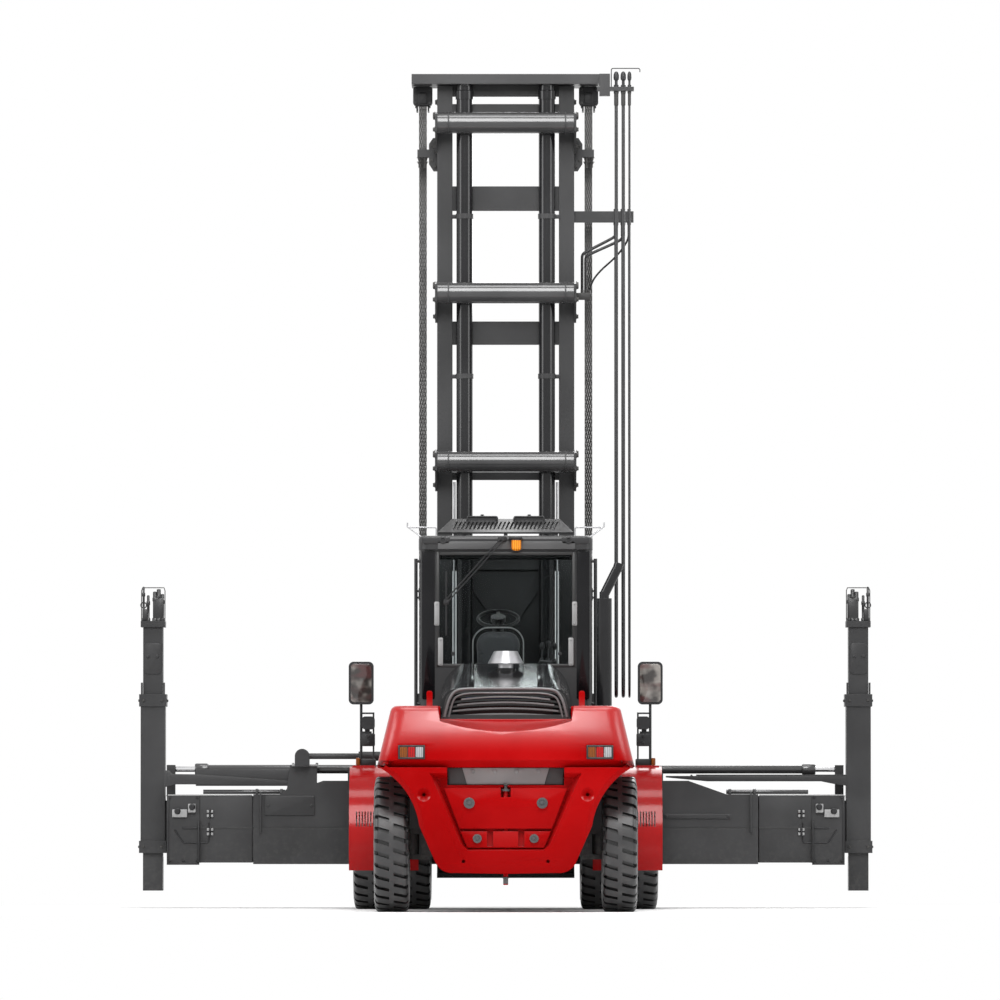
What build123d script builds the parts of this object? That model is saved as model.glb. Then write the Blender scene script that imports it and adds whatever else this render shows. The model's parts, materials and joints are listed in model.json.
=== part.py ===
from build123d import *
import math
import os

os.makedirs("parts", exist_ok=True)

# Layout: +Y is forward, +X is the driver's right, the floor is z = 0.
wheelbase = 3000
rear_overhang = 850
front_reach = 1480
front_axle_y = (wheelbase + rear_overhang - front_reach) / 2
rear_axle_y = front_axle_y - wheelbase
rear_end_y = rear_axle_y - rear_overhang
lock_front_y = front_axle_y + front_reach

# Wheels
tyre_radius = 527.5
tyre_width = 278
bead_half = 100
bead_radius = 254
rim_wall = 14
rim_lip = 12
axle_z = tyre_radius
twin_spacing = 352
twin_x = 915
steer_x = 888
kingpin_x = 733
kingpin_radius = 28
spindle_radius = 50
drive_spindle_radius = 65
run_gap = 0.15
hand_holes = 8
hand_hole_circle = 178
hand_hole_radius = 30

# Chassis
frame_inner_x = 410
frame_plate = 27
frame_outer_x = frame_inner_x + frame_plate
frame_bottom_z = 660
frame_top_z = 1050
rear_rail_x = 252
rear_rail_plate = 26
rear_rail_bottom_z = 720
frame_rear_y = front_axle_y - 2360
axle_tube_radius = 90
tank_outer_x = 1000
tank_bottom_z = 430
tank_front_y = front_axle_y - 700
tank_axle_gap = 800
tank_rear_y = rear_axle_y + tank_axle_gap

# Mast: outer channel, inner channel and lift cylinders
pivot_y = front_axle_y + 180
pivot_z = 400
pivot_radius = 42
rail_inner_x = 447
rail_lip_x = 432
rail_lip_z = 1200
rail_outer_x = 557
rail_rear_y = front_axle_y + 240
rail_depth = 225
rail_front_y = rail_rear_y + rail_depth
rail_flange = 25
rail_web = 20
rail_bottom_z = 250
rail_top_z = 6684
nest_gap = 7
slide_gap = 0.3
inner_x0 = rail_inner_x + 5
inner_x1 = rail_outer_x - rail_web - nest_gap
inner_y0 = rail_rear_y + rail_flange + nest_gap
inner_y1 = rail_front_y - rail_flange - nest_gap
inner_wall = 22
inner_bottom_z = 420
beam_bottom_z = rail_top_z + 6
beam_height = 80
channel_mid_y = (inner_y0 + inner_y1) / 2
lift_x = 334
lift_y = front_axle_y + 185
barrel_radius = 66
rod_radius = 45
barrel_top_z = rail_top_z - 44
tube_radius = 85
tube_y = lift_y - barrel_radius - 12 - tube_radius
tube_levels = (rail_top_z - 3064, rail_top_z - 1694, rail_top_z - 314)
cross_drops = ((3210, 3090), (2110, 1920), (1020, 820), (230, 150), (90, 0))
cross_plates = [(beam_bottom_z - low, beam_bottom_z - high) for low, high in cross_drops]
gusset_plate = 16
chain_x = 675
chain_width = 64
chain_thick = 30
sheave_radius = 85
sheave_y = front_axle_y + 500
sheave_z = beam_bottom_z - 130
anchor_z = (rail_top_z - 684, rail_top_z - 414)
anchor_width = 68
clamp_z = (anchor_z[0] + 112, anchor_z[0] + 176)

# Hoses at the mast's right side: x, diameter
hoses = ((897, 28), (954, 28), (1004, 18))
hose_bend = 150
hose_top_z = beam_bottom_z - 60
hose_low_z = 1710
hose_bracket_z = (beam_bottom_z - 1110, beam_bottom_z - 1020)
hose_front_y = front_axle_y + 355
hose_arm_x = (740, 1040)
hose_arm_half = 35
hose_arm_thick = 34
arm_foot_x = (760, 846)
hose_rear_y = hose_front_y - 2 * hose_bend

# Tilt cylinders
tilt_x = 500
tilt_radius = 42
tilt_rod_radius = 25
tilt_pin_radius = 22
tilt_base_y = front_axle_y - 640
tilt_base_z = 850
tilt_eye_y = front_axle_y + 170
tilt_eye_z = 950
tilt_barrel_length = 520
eye_pin_radius = 20
eye_play = 1.5

# Carriage and spreader
carriage_plate_x = 365
carriage_plate = 25
carriage_bottom_z = 450
carriage_top_z = 2910
carriage_face_y = front_axle_y + 640
shift_rail = 60
shift_rail_half = 600
shift_levels = (500, 1100)
hook_lip = 28
beam_half = 2060
spread_rear_y = front_axle_y + 720
spread_depth = 610
spread_bottom_z = 360
spread_top_z = 930
spread_hump_z = 1040
spread_wall = 18
arm_gap = 10
arm_wall = 14
arm_reach_x = 2510
arm_tail_x = -1950
end_box_x = (2500, 2760)
post_x = 2890
post_y = front_axle_y + 1150
sleeve_size = (200, 260)
sleeve_wall = 14
sleeve_z = (450, 1750)
collar_height = 100
collar_edge = 12
leg_gap = 5.5
leg_z = (142, 2300)
telescope_z = 1135
telescope_radius = 35
telescope_rod = 22
shift_cylinder_z = 1240
shift_cylinder_y = front_axle_y + 685

# Cab, hood and counterweight
cab_half = 680
cab_front_y = front_axle_y - 340
cab_rear_y = front_axle_y - 1800
cab_floor_z = frame_top_z
cab_floor_plate = 70
cab_wall = 50
roof_bottom_z = 2860
roof_top_z = 2970
pillar_depth = 160
cab_corner = 60
door_thick = 45
glass_thick = 8
hood_front_y = cab_rear_y - 40
hood_rear_y = rear_end_y + 700
hood_base_z = 1520
hood_half = 500
hood_front_z = 1955
hood_rear_z = 1735
hood_wall = 24
grille_depth = 180
grille_bottom_z = 1500
counter_low_z = 1122
counter_top_z = 1600
counter_half_low = 1000
counter_half_top = 885
counter_front_y = rear_axle_y + 520
saddle_half = 510
counter_back_y = rear_axle_y - 620
counter_round = 55
tail_lamp_x = (625, 832)
tail_lamp_z = (1186, 1294)
lift_lug_x = (569, 615)
lift_lug_top_z = 1719
lift_lug_round = 18
lift_bore_y = rear_end_y + 430
lift_bore_z = 1670
lift_bore_radius = 26
recess_y = rear_end_y + 165
recess_raise = 45
tow_pin_radius = 19
fender_radius = 626
fender_skin = 16
fender_x = (700, 1260)
fender_pad_z = 1160
fender_vents = 7
fender_vent_x = 1056
fender_vent_pitch = 23
fender_vent_width = 9
fender_vent_z = (665, 786)
light_x = 1170
mirror_half = 101
mirror_z = (1654, 2000)
mirror_round = 40


def block(x, y, z, mode=Mode.ADD):
    """Adds or cuts a box that fills three (low, high) ranges."""
    with Locations(((x[0] + x[1]) / 2, (y[0] + y[1]) / 2, (z[0] + z[1]) / 2)):
        Box(x[1] - x[0], y[1] - y[0], z[1] - z[0], mode=mode)


def bar(start, end, radius, mode=Mode.ADD):
    """Adds or cuts a round bar between two points."""
    axis = Vector(*end) - Vector(*start)
    with Locations(Plane(origin=start, z_dir=axis)):
        Cylinder(radius, axis.length, align=(Align.CENTER, Align.CENTER, Align.MIN), mode=mode)


def side_plate(points, x, mode=Mode.ADD):
    """Extrudes a (y, z) outline from x[0] to x[1]."""
    with BuildSketch(Plane.YZ.offset(x[0])) as outline:
        with BuildLine():
            Polyline(*points, close=True)
        make_face()
    extrude(outline.sketch, amount=x[1] - x[0], mode=mode)


def end_plate(points, y, mode=Mode.ADD):
    """Extrudes an (x, z) outline from y[0] to y[1]."""
    with BuildSketch(Plane.XZ.offset(-y[0])) as outline:
        with BuildLine():
            Polyline(*points, close=True)
        make_face()
    extrude(outline.sketch, amount=y[0] - y[1], mode=mode)


def rounded_plate(x, z, y, radius, mode=Mode.ADD):
    """Extrudes a rectangle with round corners from y[0] to y[1]."""
    with BuildSketch(Plane.XZ.offset(-y[0])) as outline:
        with Locations(((x[0] + x[1]) / 2, (z[0] + z[1]) / 2)):
            RectangleRounded(x[1] - x[0], z[1] - z[0], radius)
    extrude(outline.sketch, amount=y[0] - y[1], mode=mode)


def turned(center, points, mode=Mode.ADD):
    """Revolves an (x, radius) outline about the X axis through a point."""
    with BuildSketch(Plane(origin=center, x_dir=(1, 0, 0), z_dir=(0, 0, 1))) as outline:
        with BuildLine():
            Polyline(*points, close=True)
        make_face()
    revolve(outline.sketch, axis=Axis(center, (1, 0, 0)), mode=mode)


def band(center, x, r, mode=Mode.ADD):
    """Adds a ring about the X axis: x and r are (low, high) ranges."""
    turned(center, ((x[0], r[0]), (x[1], r[0]), (x[1], r[1]), (x[0], r[1])), mode)


def tyre(center):
    """Adds one tyre whose section has round side walls and a flat crown."""
    half = tyre_width / 2
    shoulder = (0.93 * half, tyre_radius - 24)
    crown = (0.83 * half, tyre_radius)
    bulge = (half, 0.55 * tyre_radius + 0.45 * bead_radius)
    with BuildSketch(Plane(origin=center, x_dir=(1, 0, 0), z_dir=(0, 0, 1))) as section:
        with BuildLine():
            ThreePointArc((bead_half, bead_radius), bulge, shoulder)
            Line(shoulder, crown)
            Line(crown, (-crown[0], crown[1]))
            Line((-crown[0], crown[1]), (-shoulder[0], shoulder[1]))
            ThreePointArc((-shoulder[0], shoulder[1]), (-bulge[0], bulge[1]), (-bead_half, bead_radius))
            Line((-bead_half, bead_radius), (bead_half, bead_radius))
        make_face()
    revolve(section.sketch, axis=Axis(center, (1, 0, 0)))


def both(x):
    """Gives an (x low, x high) range and its mirror image."""
    return (x, (-x[1], -x[0]))


def save(part, name):
    """Names a finished part and writes its STEP file."""
    part.label = name
    export_step(part, f"parts/{name}.step")


# Chassis frame: side plates with a nose for the mast pins, narrow rails between the steered wheels
nose_rear_y = front_axle_y + axle_tube_radius + 8
frame_side = (
    (frame_rear_y, frame_bottom_z),
    (nose_rear_y, frame_bottom_z),
    (nose_rear_y, pivot_z - 75),
    (pivot_y + 65, pivot_z - 75),
    (pivot_y + 65, frame_bottom_z + 40),
    (front_axle_y + 60, frame_top_z),
    (frame_rear_y, frame_top_z),
)
cross_members = ((-360, -320), (-1500, -1440), (-2160, -2090))
trunnion_radius = 50
steer_beam = (160, 180)
trunnion_y = (steer_beam[0] / 2 + 25, steer_beam[0] / 2 + 65)
with BuildPart() as chassis_frame:
    for x in both((frame_inner_x, frame_outer_x)):
        side_plate(frame_side, x)
    for low, high in cross_members:
        block((-frame_inner_x, frame_inner_x), (front_axle_y + low, front_axle_y + high),
              (frame_bottom_z, frame_bottom_z + 60))
    block((-frame_inner_x, frame_inner_x), (cab_rear_y, front_axle_y - 320), (frame_top_z - 30, frame_top_z))
    block((-frame_outer_x, frame_outer_x), (frame_rear_y, frame_rear_y + 30), (frame_bottom_z, frame_top_z))
    for x in both((rear_rail_x, rear_rail_x + rear_rail_plate)):
        block(x, (counter_back_y, frame_rear_y), (rear_rail_bottom_z, frame_top_z))
    for side in (-1, 1):
        y = (rear_axle_y + side * trunnion_y[0], rear_axle_y + side * trunnion_y[1])
        block((-110, 110), (min(y), max(y)), (axle_z - 90, rear_rail_bottom_z + 60))
        block((-rear_rail_x, rear_rail_x), (min(y), max(y)), (rear_rail_bottom_z, rear_rail_bottom_z + 60))
    bar((0, rear_axle_y - trunnion_y[1], axle_z), (0, rear_axle_y + trunnion_y[1], axle_z), trunnion_radius,
        mode=Mode.SUBTRACT)
    for side in (-1, 1):
        bar((side * frame_inner_x, pivot_y, pivot_z), (side * (rail_outer_x - 10), pivot_y, pivot_z),
            pivot_radius)
        bar((side * frame_inner_x, tilt_base_y, tilt_base_z),
            (side * (tilt_x + tilt_radius), tilt_base_y, tilt_base_z), tilt_pin_radius)
save(chassis_frame.part, "chassis_frame")

step_depth = 130
step_height = 190
step_levels = (545, 800)
step_y = (tank_front_y - 620, tank_front_y - 160)
with BuildPart() as side_tanks:
    for x in both((frame_outer_x, tank_outer_x)):
        block(x, (tank_rear_y, tank_front_y), (tank_bottom_z, frame_top_z - 5))
    chamfer(side_tanks.edges().filter_by(Axis.Y).group_by(Axis.Z)[0], 60)
    for x in both((tank_outer_x - step_depth, tank_outer_x + 1)):
        for z in step_levels:
            block(x, step_y, (z, z + step_height), mode=Mode.SUBTRACT)
    for side in (-1, 1):
        cap = (side * (tank_outer_x - 140), tank_rear_y + 180)
        bar((*cap, frame_top_z - 10), (*cap, frame_top_z + 30), 55)
save(side_tanks.part, "side_tanks")

with BuildPart() as engine_block:
    block((-330, 330), (frame_rear_y + 60, cab_rear_y - 60), (frame_bottom_z + 60, hood_base_z - 20))
save(engine_block.part, "engine_block")

panel_vents = 6
with BuildPart() as engine_panels:
    panel_y = (counter_front_y + 5, cab_rear_y - 5)
    for x in both((hood_half - 30, hood_half)):
        block(x, panel_y, (frame_top_z, hood_base_z - 0.3))
    for x in both((frame_inner_x, hood_half)):
        block(x, (frame_rear_y + 30, cab_rear_y - 5), (frame_top_z, frame_top_z + 25))
    vent_margin = (panel_y[1] - panel_y[0]) / 6
    vent_pitch = (hood_base_z - frame_top_z) / 10
    for step in range(panel_vents):
        z = frame_top_z + (step + 3) * vent_pitch
        block((-hood_half - 1, hood_half + 1), (panel_y[0] + vent_margin, panel_y[1] - vent_margin),
              (z, z + 0.4 * vent_pitch), mode=Mode.SUBTRACT)
save(engine_panels.part, "engine_panels")

# Axles and knuckles
with BuildPart() as drive_axle:
    bar((-800, front_axle_y, axle_z), (800, front_axle_y, axle_z), axle_tube_radius)
    bar((-150, front_axle_y, axle_z), (150, front_axle_y, axle_z), 205)
    bar((-twin_x - 88, front_axle_y, axle_z), (twin_x + 88, front_axle_y, axle_z), drive_spindle_radius)
    for x in both((frame_inner_x - 10, frame_outer_x + 10)):
        block(x, (front_axle_y - 90, front_axle_y + 90), (axle_z, frame_bottom_z))
save(drive_axle.part, "drive_axle")

yoke_gap = 80
with BuildPart() as steer_axle:
    yoke_x = kingpin_x - 75
    block((-yoke_x, yoke_x), (rear_axle_y - steer_beam[0] / 2, rear_axle_y + steer_beam[0] / 2),
          (axle_z - steer_beam[1] / 2, axle_z + steer_beam[1] / 2))
    bar((0, rear_axle_y - trunnion_y[1], axle_z), (0, rear_axle_y + trunnion_y[1], axle_z), trunnion_radius)
    for side in (-1, 1):
        for level in (-1, 1):
            z = sorted((axle_z + level * yoke_gap, axle_z + level * (yoke_gap + 40)))
            x = sorted((side * (yoke_x - 60), side * kingpin_x))
            block(x, (rear_axle_y - 60, rear_axle_y + 60), z)
            bar((side * kingpin_x, rear_axle_y, z[0]), (side * kingpin_x, rear_axle_y, z[1]), 60)
        bar((side * kingpin_x, rear_axle_y, axle_z - yoke_gap - 40),
            (side * kingpin_x, rear_axle_y, axle_z + yoke_gap + 40), kingpin_radius)
save(steer_axle.part, "steer_axle")

for side, name in ((-1, "left"), (1, "right")):
    with BuildPart() as knuckle:
        bar((side * kingpin_x, rear_axle_y, axle_z - yoke_gap + 2),
            (side * kingpin_x, rear_axle_y, axle_z + yoke_gap - 2), 58)
        bar((side * kingpin_x, rear_axle_y, axle_z), (side * (steer_x + 80), rear_axle_y, axle_z),
            spindle_radius)
        bar((side * kingpin_x, rear_axle_y, axle_z - yoke_gap),
            (side * kingpin_x, rear_axle_y, axle_z + yoke_gap), kingpin_radius + run_gap, mode=Mode.SUBTRACT)
    save(knuckle.part, f"knuckle_{name}")

    with BuildPart() as steer_tyre:
        tyre((side * steer_x, rear_axle_y, axle_z))
    save(steer_tyre.part, f"steer_tyre_{name}")

    hub_center = (side * steer_x, rear_axle_y, axle_z)
    with BuildPart() as steer_rim:
        rim_half = bead_half + 2 * rim_lip
        band(hub_center, (-rim_half, rim_half), (bead_radius - rim_wall, bead_radius))
        for edge in (-1, 1):
            lip = sorted((edge * (rim_half - rim_lip), edge * rim_half))
            band(hub_center, lip, (bead_radius - rim_wall, bead_radius + rim_lip))
        band(hub_center, sorted((side * 30, side * 46)), (80, bead_radius - rim_wall))
        for turn in range(hand_holes):
            angle = math.tau * turn / hand_holes
            y = rear_axle_y + hand_hole_circle * math.cos(angle)
            z = axle_z + hand_hole_circle * math.sin(angle)
            bar((side * (steer_x + 20), y, z), (side * (steer_x + 60), y, z), hand_hole_radius,
                mode=Mode.SUBTRACT)
        band(hub_center, sorted((side * -40, side * 100)), (spindle_radius + run_gap, 105))
        band(hub_center, sorted((side * 80.3, side * 112)), (0, 80))
    save(steer_rim.part, f"steer_rim_{name}")

    twin_center = (side * twin_x, front_axle_y, axle_z)
    with BuildPart() as drive_tyres:
        for place in (-1, 1):
            tyre((twin_center[0] + place * twin_spacing / 2, front_axle_y, axle_z))
    save(drive_tyres.part, f"drive_tyres_{name}")

    with BuildPart() as drive_rims:
        rim_half = twin_spacing / 2 + bead_half + 2 * rim_lip
        band(twin_center, (-rim_half, rim_half), (bead_radius - rim_wall, bead_radius))
        for edge in (-1, 1):
            lip = sorted((edge * (rim_half - rim_lip), edge * rim_half))
            band(twin_center, lip, (bead_radius - rim_wall, bead_radius + rim_lip))
        band(twin_center, (-10, 10), (140, bead_radius - rim_wall))
        band(twin_center, sorted((side * -70, side * 130)), (drive_spindle_radius + run_gap, 150))
        band(twin_center, sorted((side * 88.3, side * 175)), (0, 110))
    save(drive_rims.part, f"drive_rims_{name}")

# Fenders over the drive wheels
stay_y = (front_axle_y - 150, front_axle_y - 100)
with BuildPart() as drive_fenders:
    for x in both(fender_x):
        center = (0, front_axle_y, axle_z)
        band(center, x, (fender_radius - fender_skin, fender_radius))
        side = 1 if x[0] > 0 else -1
        outer = sorted((side * (fender_x[1] - fender_skin), side * fender_x[1]))
        band(center, outer, (fender_radius - 50, fender_radius))
    far = 2 * fender_radius
    low_rear = (front_axle_y - far, axle_z - far * math.tan(math.radians(20)))
    low_front = (front_axle_y + far, axle_z + far * math.tan(math.radians(22)))
    under = ((front_axle_y - far, -far), (front_axle_y + far, -far))
    side_plate(((front_axle_y, axle_z), low_rear, *under, low_front), (-fender_x[1] - 10, fender_x[1] + 10),
               mode=Mode.SUBTRACT)
    for x in both((frame_outer_x, fender_x[0] + 30)):
        block(x, (front_axle_y - 600, front_axle_y - 560), (frame_bottom_z + 35, frame_bottom_z + 115))
        block(x, stay_y, (frame_top_z + 25, frame_top_z + 75))
    for x in both((frame_outer_x, frame_outer_x + 60)):
        block(x, stay_y, (frame_top_z - 50, frame_top_z + 75))
    for x in both((fender_x[1] - 200, fender_x[1] - 20)):
        block(x, (front_axle_y - 80, front_axle_y + 140), (fender_pad_z - 50, fender_pad_z))
    for step in range(fender_vents):
        vent = fender_vent_x + step * fender_vent_pitch
        for x in both((vent, vent + fender_vent_width)):
            block(x, (front_axle_y - fender_radius - 10, front_axle_y - fender_radius + 110), fender_vent_z,
                  mode=Mode.SUBTRACT)
save(drive_fenders.part, "drive_fenders")

# Counterweight: an upper casting that straddles the hood and a lower slab behind the steered wheels
counter_bulge = 50
low_rear_y = rear_end_y
top_rear_y = rear_end_y + 80
shelf_y = rear_end_y + 750
saddle_y = rear_end_y + 450
saddle_lip_z = 1385
saddle_rise = (90, 20)
saddle_flare = 20
with BuildPart() as counterweight_upper:
    for z, half, rear, corner in (
        (counter_low_z, counter_half_low, low_rear_y, 150),
        (counter_top_z, counter_half_top, top_rear_y, 130),
    ):
        with BuildSketch(Plane.XY.offset(z)):
            with BuildLine():
                ThreePointArc((-half, rear + counter_bulge), (0, rear), (half, rear + counter_bulge))
                Polyline((half, rear + counter_bulge), (half, counter_front_y), (-half, counter_front_y),
                         (-half, rear + counter_bulge))
            make_face()
            fillet(vertices().group_by(Axis.Y)[0], corner)
    loft()
    fillet(counterweight_upper.faces().sort_by(Axis.Z)[-1].edges(), counter_round)
    block((-hood_half - 10, hood_half + 10), (shelf_y, counter_front_y + 10), (0, counter_top_z + 10),
          mode=Mode.SUBTRACT)
    saddle = []
    for y, low, rise in (
        (rear_end_y - 10, saddle_lip_z, saddle_rise[0]),
        (saddle_y, grille_bottom_z - saddle_rise[1], saddle_rise[1]),
    ):
        brim = (saddle_half + saddle_flare, counter_top_z + 10)
        with BuildSketch(Plane.XZ.offset(-y)) as section:
            with BuildLine():
                ThreePointArc((-saddle_half, low + rise), (0, low), (saddle_half, low + rise))
                Polyline((saddle_half, low + rise), brim, (-brim[0], brim[1]), (-saddle_half, low + rise))
            make_face()
        saddle.append(section.sketch)
    loft(saddle, mode=Mode.SUBTRACT)
    block((-saddle_half, saddle_half), (saddle_y, shelf_y + 10), (grille_bottom_z, counter_top_z + 10),
          mode=Mode.SUBTRACT)
    for x in both(tail_lamp_x):
        block(x, (rear_end_y - 10, rear_end_y + 130), tail_lamp_z, mode=Mode.SUBTRACT)
    for x in both(lift_lug_x):
        rounded_plate(x, (counter_top_z - 40, lift_lug_top_z), (lift_bore_y - 50, lift_bore_y + 50),
                      lift_lug_round)
    bar((-lift_lug_x[1] - 10, lift_bore_y, lift_bore_z), (lift_lug_x[1] + 10, lift_bore_y, lift_bore_z),
        lift_bore_radius, mode=Mode.SUBTRACT)
save(counterweight_upper.part, "counterweight_upper")

with BuildPart() as counterweight_lower:
    with BuildSketch(Plane.XZ.offset(-counter_back_y)):
        with BuildLine():
            Line((0, counter_low_z), (980, counter_low_z))
            ThreePointArc((980, counter_low_z), (780, 945), (669, 669))
            Line((669, 669), (546, 391))
            ThreePointArc((546, 391), (490, 325), (400, 305))
            Line((400, 305), (0, 298))
            Line((0, 298), (0, counter_low_z))
        make_face()
        mirror(about=Plane.YZ)
    extrude(amount=counter_back_y - rear_end_y)
    side_plate(((rear_end_y - 10, counter_low_z + 10), (rear_end_y + 30, counter_low_z + 10),
                (rear_end_y + 110, 280), (rear_end_y - 10, 280)), (-1010, 1010), mode=Mode.SUBTRACT)
    recess = []
    for y, outline in (
        (rear_end_y - 10, ((606, 1090), (372, 520), (310, 452))),
        (recess_y, ((535, 1040), (322, 530), (284, 498))),
    ):
        with BuildSketch(Plane.XZ.offset(-y)) as section:
            with BuildLine():
                Polyline(*outline, *((-x, z) for x, z in reversed(outline)), close=True)
            make_face()
        recess.append(section.sketch)
    loft(recess, mode=Mode.SUBTRACT)
    panel_y = (recess_y - recess_raise, recess_y + 5)
    end_plate(((-478, 962), (478, 962), (358, 648), (-358, 648)), panel_y)
    end_plate(((-350, 628), (350, 628), (298, 500), (-298, 500)), panel_y)
    for x in both((98, 144)):
        block(x, (rear_end_y, recess_y), (510, 628), mode=Mode.SUBTRACT)
    block((-38, 38), (rear_end_y, recess_y + 40), (893, 970), mode=Mode.SUBTRACT)
    bar((0, recess_y - 5, 213), (0, recess_y - 5, 940), tow_pin_radius)
    for x, z, radius in ((283, 846, 43), (220, 571, 35)):
        for side in (-1, 1):
            bar((side * x, panel_y[0] - 14, z), (side * x, recess_y, z), radius)
    for x, z in ((633, 911), (327, 395)):
        for side in (-1, 1):
            bar((side * x, rear_end_y, z), (side * x, recess_y, z), 13, mode=Mode.SUBTRACT)
    block((-453, 453), (rear_end_y - 10, recess_y + 120), (985, counter_low_z + 1), mode=Mode.SUBTRACT)
save(counterweight_lower.part, "counterweight_lower")

with BuildPart() as tail_lamps:
    for x in both(tail_lamp_x):
        block(x, (rear_end_y + 50, rear_end_y + 130), tail_lamp_z)
save(tail_lamps.part, "tail_lamps")

# Hood, grille and radiator: hood sections are y, top z, half width of the flat top
hood_sections = ((hood_front_y, hood_front_z, 330), (hood_rear_y, hood_rear_z, 360))


def hood_shell(inset, mode=Mode.ADD):
    """Lofts the hood between its cab end and its grille end, inset for the inside."""
    faces = []
    for y, top, flat in hood_sections:
        y += inset if y == hood_front_y else -inset
        half = hood_half - inset
        corner = (flat - inset / 2, top - inset)
        waist = (half, hood_base_z + 120)
        bow = (0.28 * corner[0] + 0.72 * half, 0.72 * corner[1] + 0.28 * waist[1])
        with BuildSketch(Plane.XZ.offset(-y)) as section:
            with BuildLine():
                foot_z = hood_base_z - inset
                Polyline((-waist[0], waist[1]), (-half, foot_z), (half, foot_z), waist)
                ThreePointArc(waist, bow, corner)
                Line(corner, (-corner[0], corner[1]))
                ThreePointArc((-corner[0], corner[1]), (-bow[0], bow[1]), (-waist[0], waist[1]))
            make_face()
        faces.append(section.sketch)
    loft(faces, mode=mode)


precleaner_y = front_axle_y - 2150
hood_fall = (hood_front_z - hood_rear_z) / (hood_front_y - hood_rear_y)
seat_z = hood_front_z - hood_fall * (hood_front_y - precleaner_y) + 12
with BuildPart() as hood:
    hood_shell(0)
    with Locations((0, precleaner_y, seat_z)):
        Cylinder(80, 60, align=(Align.CENTER, Align.CENTER, Align.MAX))
    hood_shell(hood_wall, mode=Mode.SUBTRACT)
save(hood.part, "hood")

with BuildPart() as precleaner:
    with Locations((0, precleaner_y, seat_z)):
        Cylinder(60, 60, align=(Align.CENTER, Align.CENTER, Align.MIN))
    with Locations((0, precleaner_y, seat_z + 36)):
        Cone(142, 92, 98, align=(Align.CENTER, Align.CENTER, Align.MIN))
save(precleaner.part, "precleaner")

grille_y = (hood_rear_y - 5 - grille_depth, hood_rear_y - 5)
grille_corner = 120
grille_edge = 34
louvre_thick = 16
louvre_rise = 26
with BuildPart() as grille:
    for edge, mode in ((0, Mode.ADD), (grille_edge, Mode.SUBTRACT)):
        half = hood_half - edge
        with BuildSketch(Plane.XZ.offset(-grille_y[0] + (1 if edge else 0))) as arch:
            with BuildLine():
                top = (half - 45, hood_rear_z - edge)
                low = (half, grille_bottom_z + edge)
                Polyline((-low[0], low[1]), low, top, (-top[0], top[1]), close=True)
            make_face()
            fillet(arch.vertices().group_by(Axis.Y)[-1], grille_corner - edge)
        extrude(arch.sketch, amount=-grille_depth - (2 if edge else 0), mode=mode)
    for step in range(4):
        z = grille_bottom_z + 45 + 37 * step
        half = hood_half - 22 - 5 * step
        y = grille_y[0] + 14 + 8 * step
        with BuildSketch(Plane.XZ.offset(-y)) as louvre:
            with BuildLine():
                ThreePointArc((-half, z), (0, z + louvre_rise), (half, z))
                Line((half, z), (half, z + louvre_thick))
                top = z + louvre_thick
                ThreePointArc((half, top), (0, top + louvre_rise), (-half, top))
                Line((-half, top), (-half, z))
            make_face()
        extrude(louvre.sketch, amount=-50)
save(grille.part, "grille")

with BuildPart() as radiator:
    block((-370, 370), (grille_y[0] + 100, grille_y[1]), (grille_bottom_z + grille_edge, hood_rear_z - 80))
save(radiator.part, "radiator")

# Cab
floor_top_z = cab_floor_z + cab_floor_plate
window_low_z = 1940
window_top_z = 2830
rear_window_half = 540
front_window_half = 610
front_window_z = 1480
door_y = (cab_rear_y + pillar_depth + 5, cab_front_y - cab_wall - 5)
with BuildPart() as cab_floor:
    block((-cab_half, cab_half), (cab_rear_y, cab_front_y), (cab_floor_z, floor_top_z))
save(cab_floor.part, "cab_floor")

with BuildPart() as cab_rear_wall:
    block((-cab_half, cab_half), (cab_rear_y, cab_rear_y + cab_wall), (floor_top_z, roof_bottom_z))
    for x in both((cab_half - 100, cab_half)):
        block(x, (cab_rear_y, cab_rear_y + pillar_depth), (floor_top_z, roof_bottom_z))
    fillet(cab_rear_wall.edges().filter_by(Axis.Z).group_by(Axis.Y)[0], cab_corner)
    block((-rear_window_half, rear_window_half), (cab_rear_y - 1, cab_rear_y + cab_wall + 1),
          (window_low_z, window_top_z), mode=Mode.SUBTRACT)
save(cab_rear_wall.part, "cab_rear_wall")

with BuildPart() as cab_front_wall:
    block((-cab_half, cab_half), (cab_front_y - cab_wall, cab_front_y), (floor_top_z, roof_bottom_z))
    block((-front_window_half, front_window_half), (cab_front_y - cab_wall - 1, cab_front_y + 1),
          (front_window_z, window_top_z), mode=Mode.SUBTRACT)
save(cab_front_wall.part, "cab_front_wall")

with BuildPart() as cab_glass:
    mid = cab_rear_y + cab_wall / 2
    block((-rear_window_half, rear_window_half), (mid - glass_thick / 2, mid + glass_thick / 2),
          (window_low_z, window_top_z))
    mid = cab_front_y - cab_wall / 2
    block((-front_window_half, front_window_half), (mid - glass_thick / 2, mid + glass_thick / 2),
          (front_window_z, window_top_z))
save(cab_glass.part, "cab_glass")

with BuildPart() as cab_roof:
    block((-cab_half - 10, cab_half + 10), (cab_rear_y - 30, cab_front_y + 30), (roof_bottom_z, roof_top_z))
    fillet(cab_roof.edges().filter_by(Axis.Z), cab_corner + 30)
    fillet(cab_roof.faces().sort_by(Axis.Z)[-1].edges(), 30)
    for x in both((380, 540)):
        rounded_plate(x, (roof_bottom_z + 15, roof_top_z + 15), (cab_front_y + 20, cab_front_y + 100), 20)
save(cab_roof.part, "cab_roof")

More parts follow.
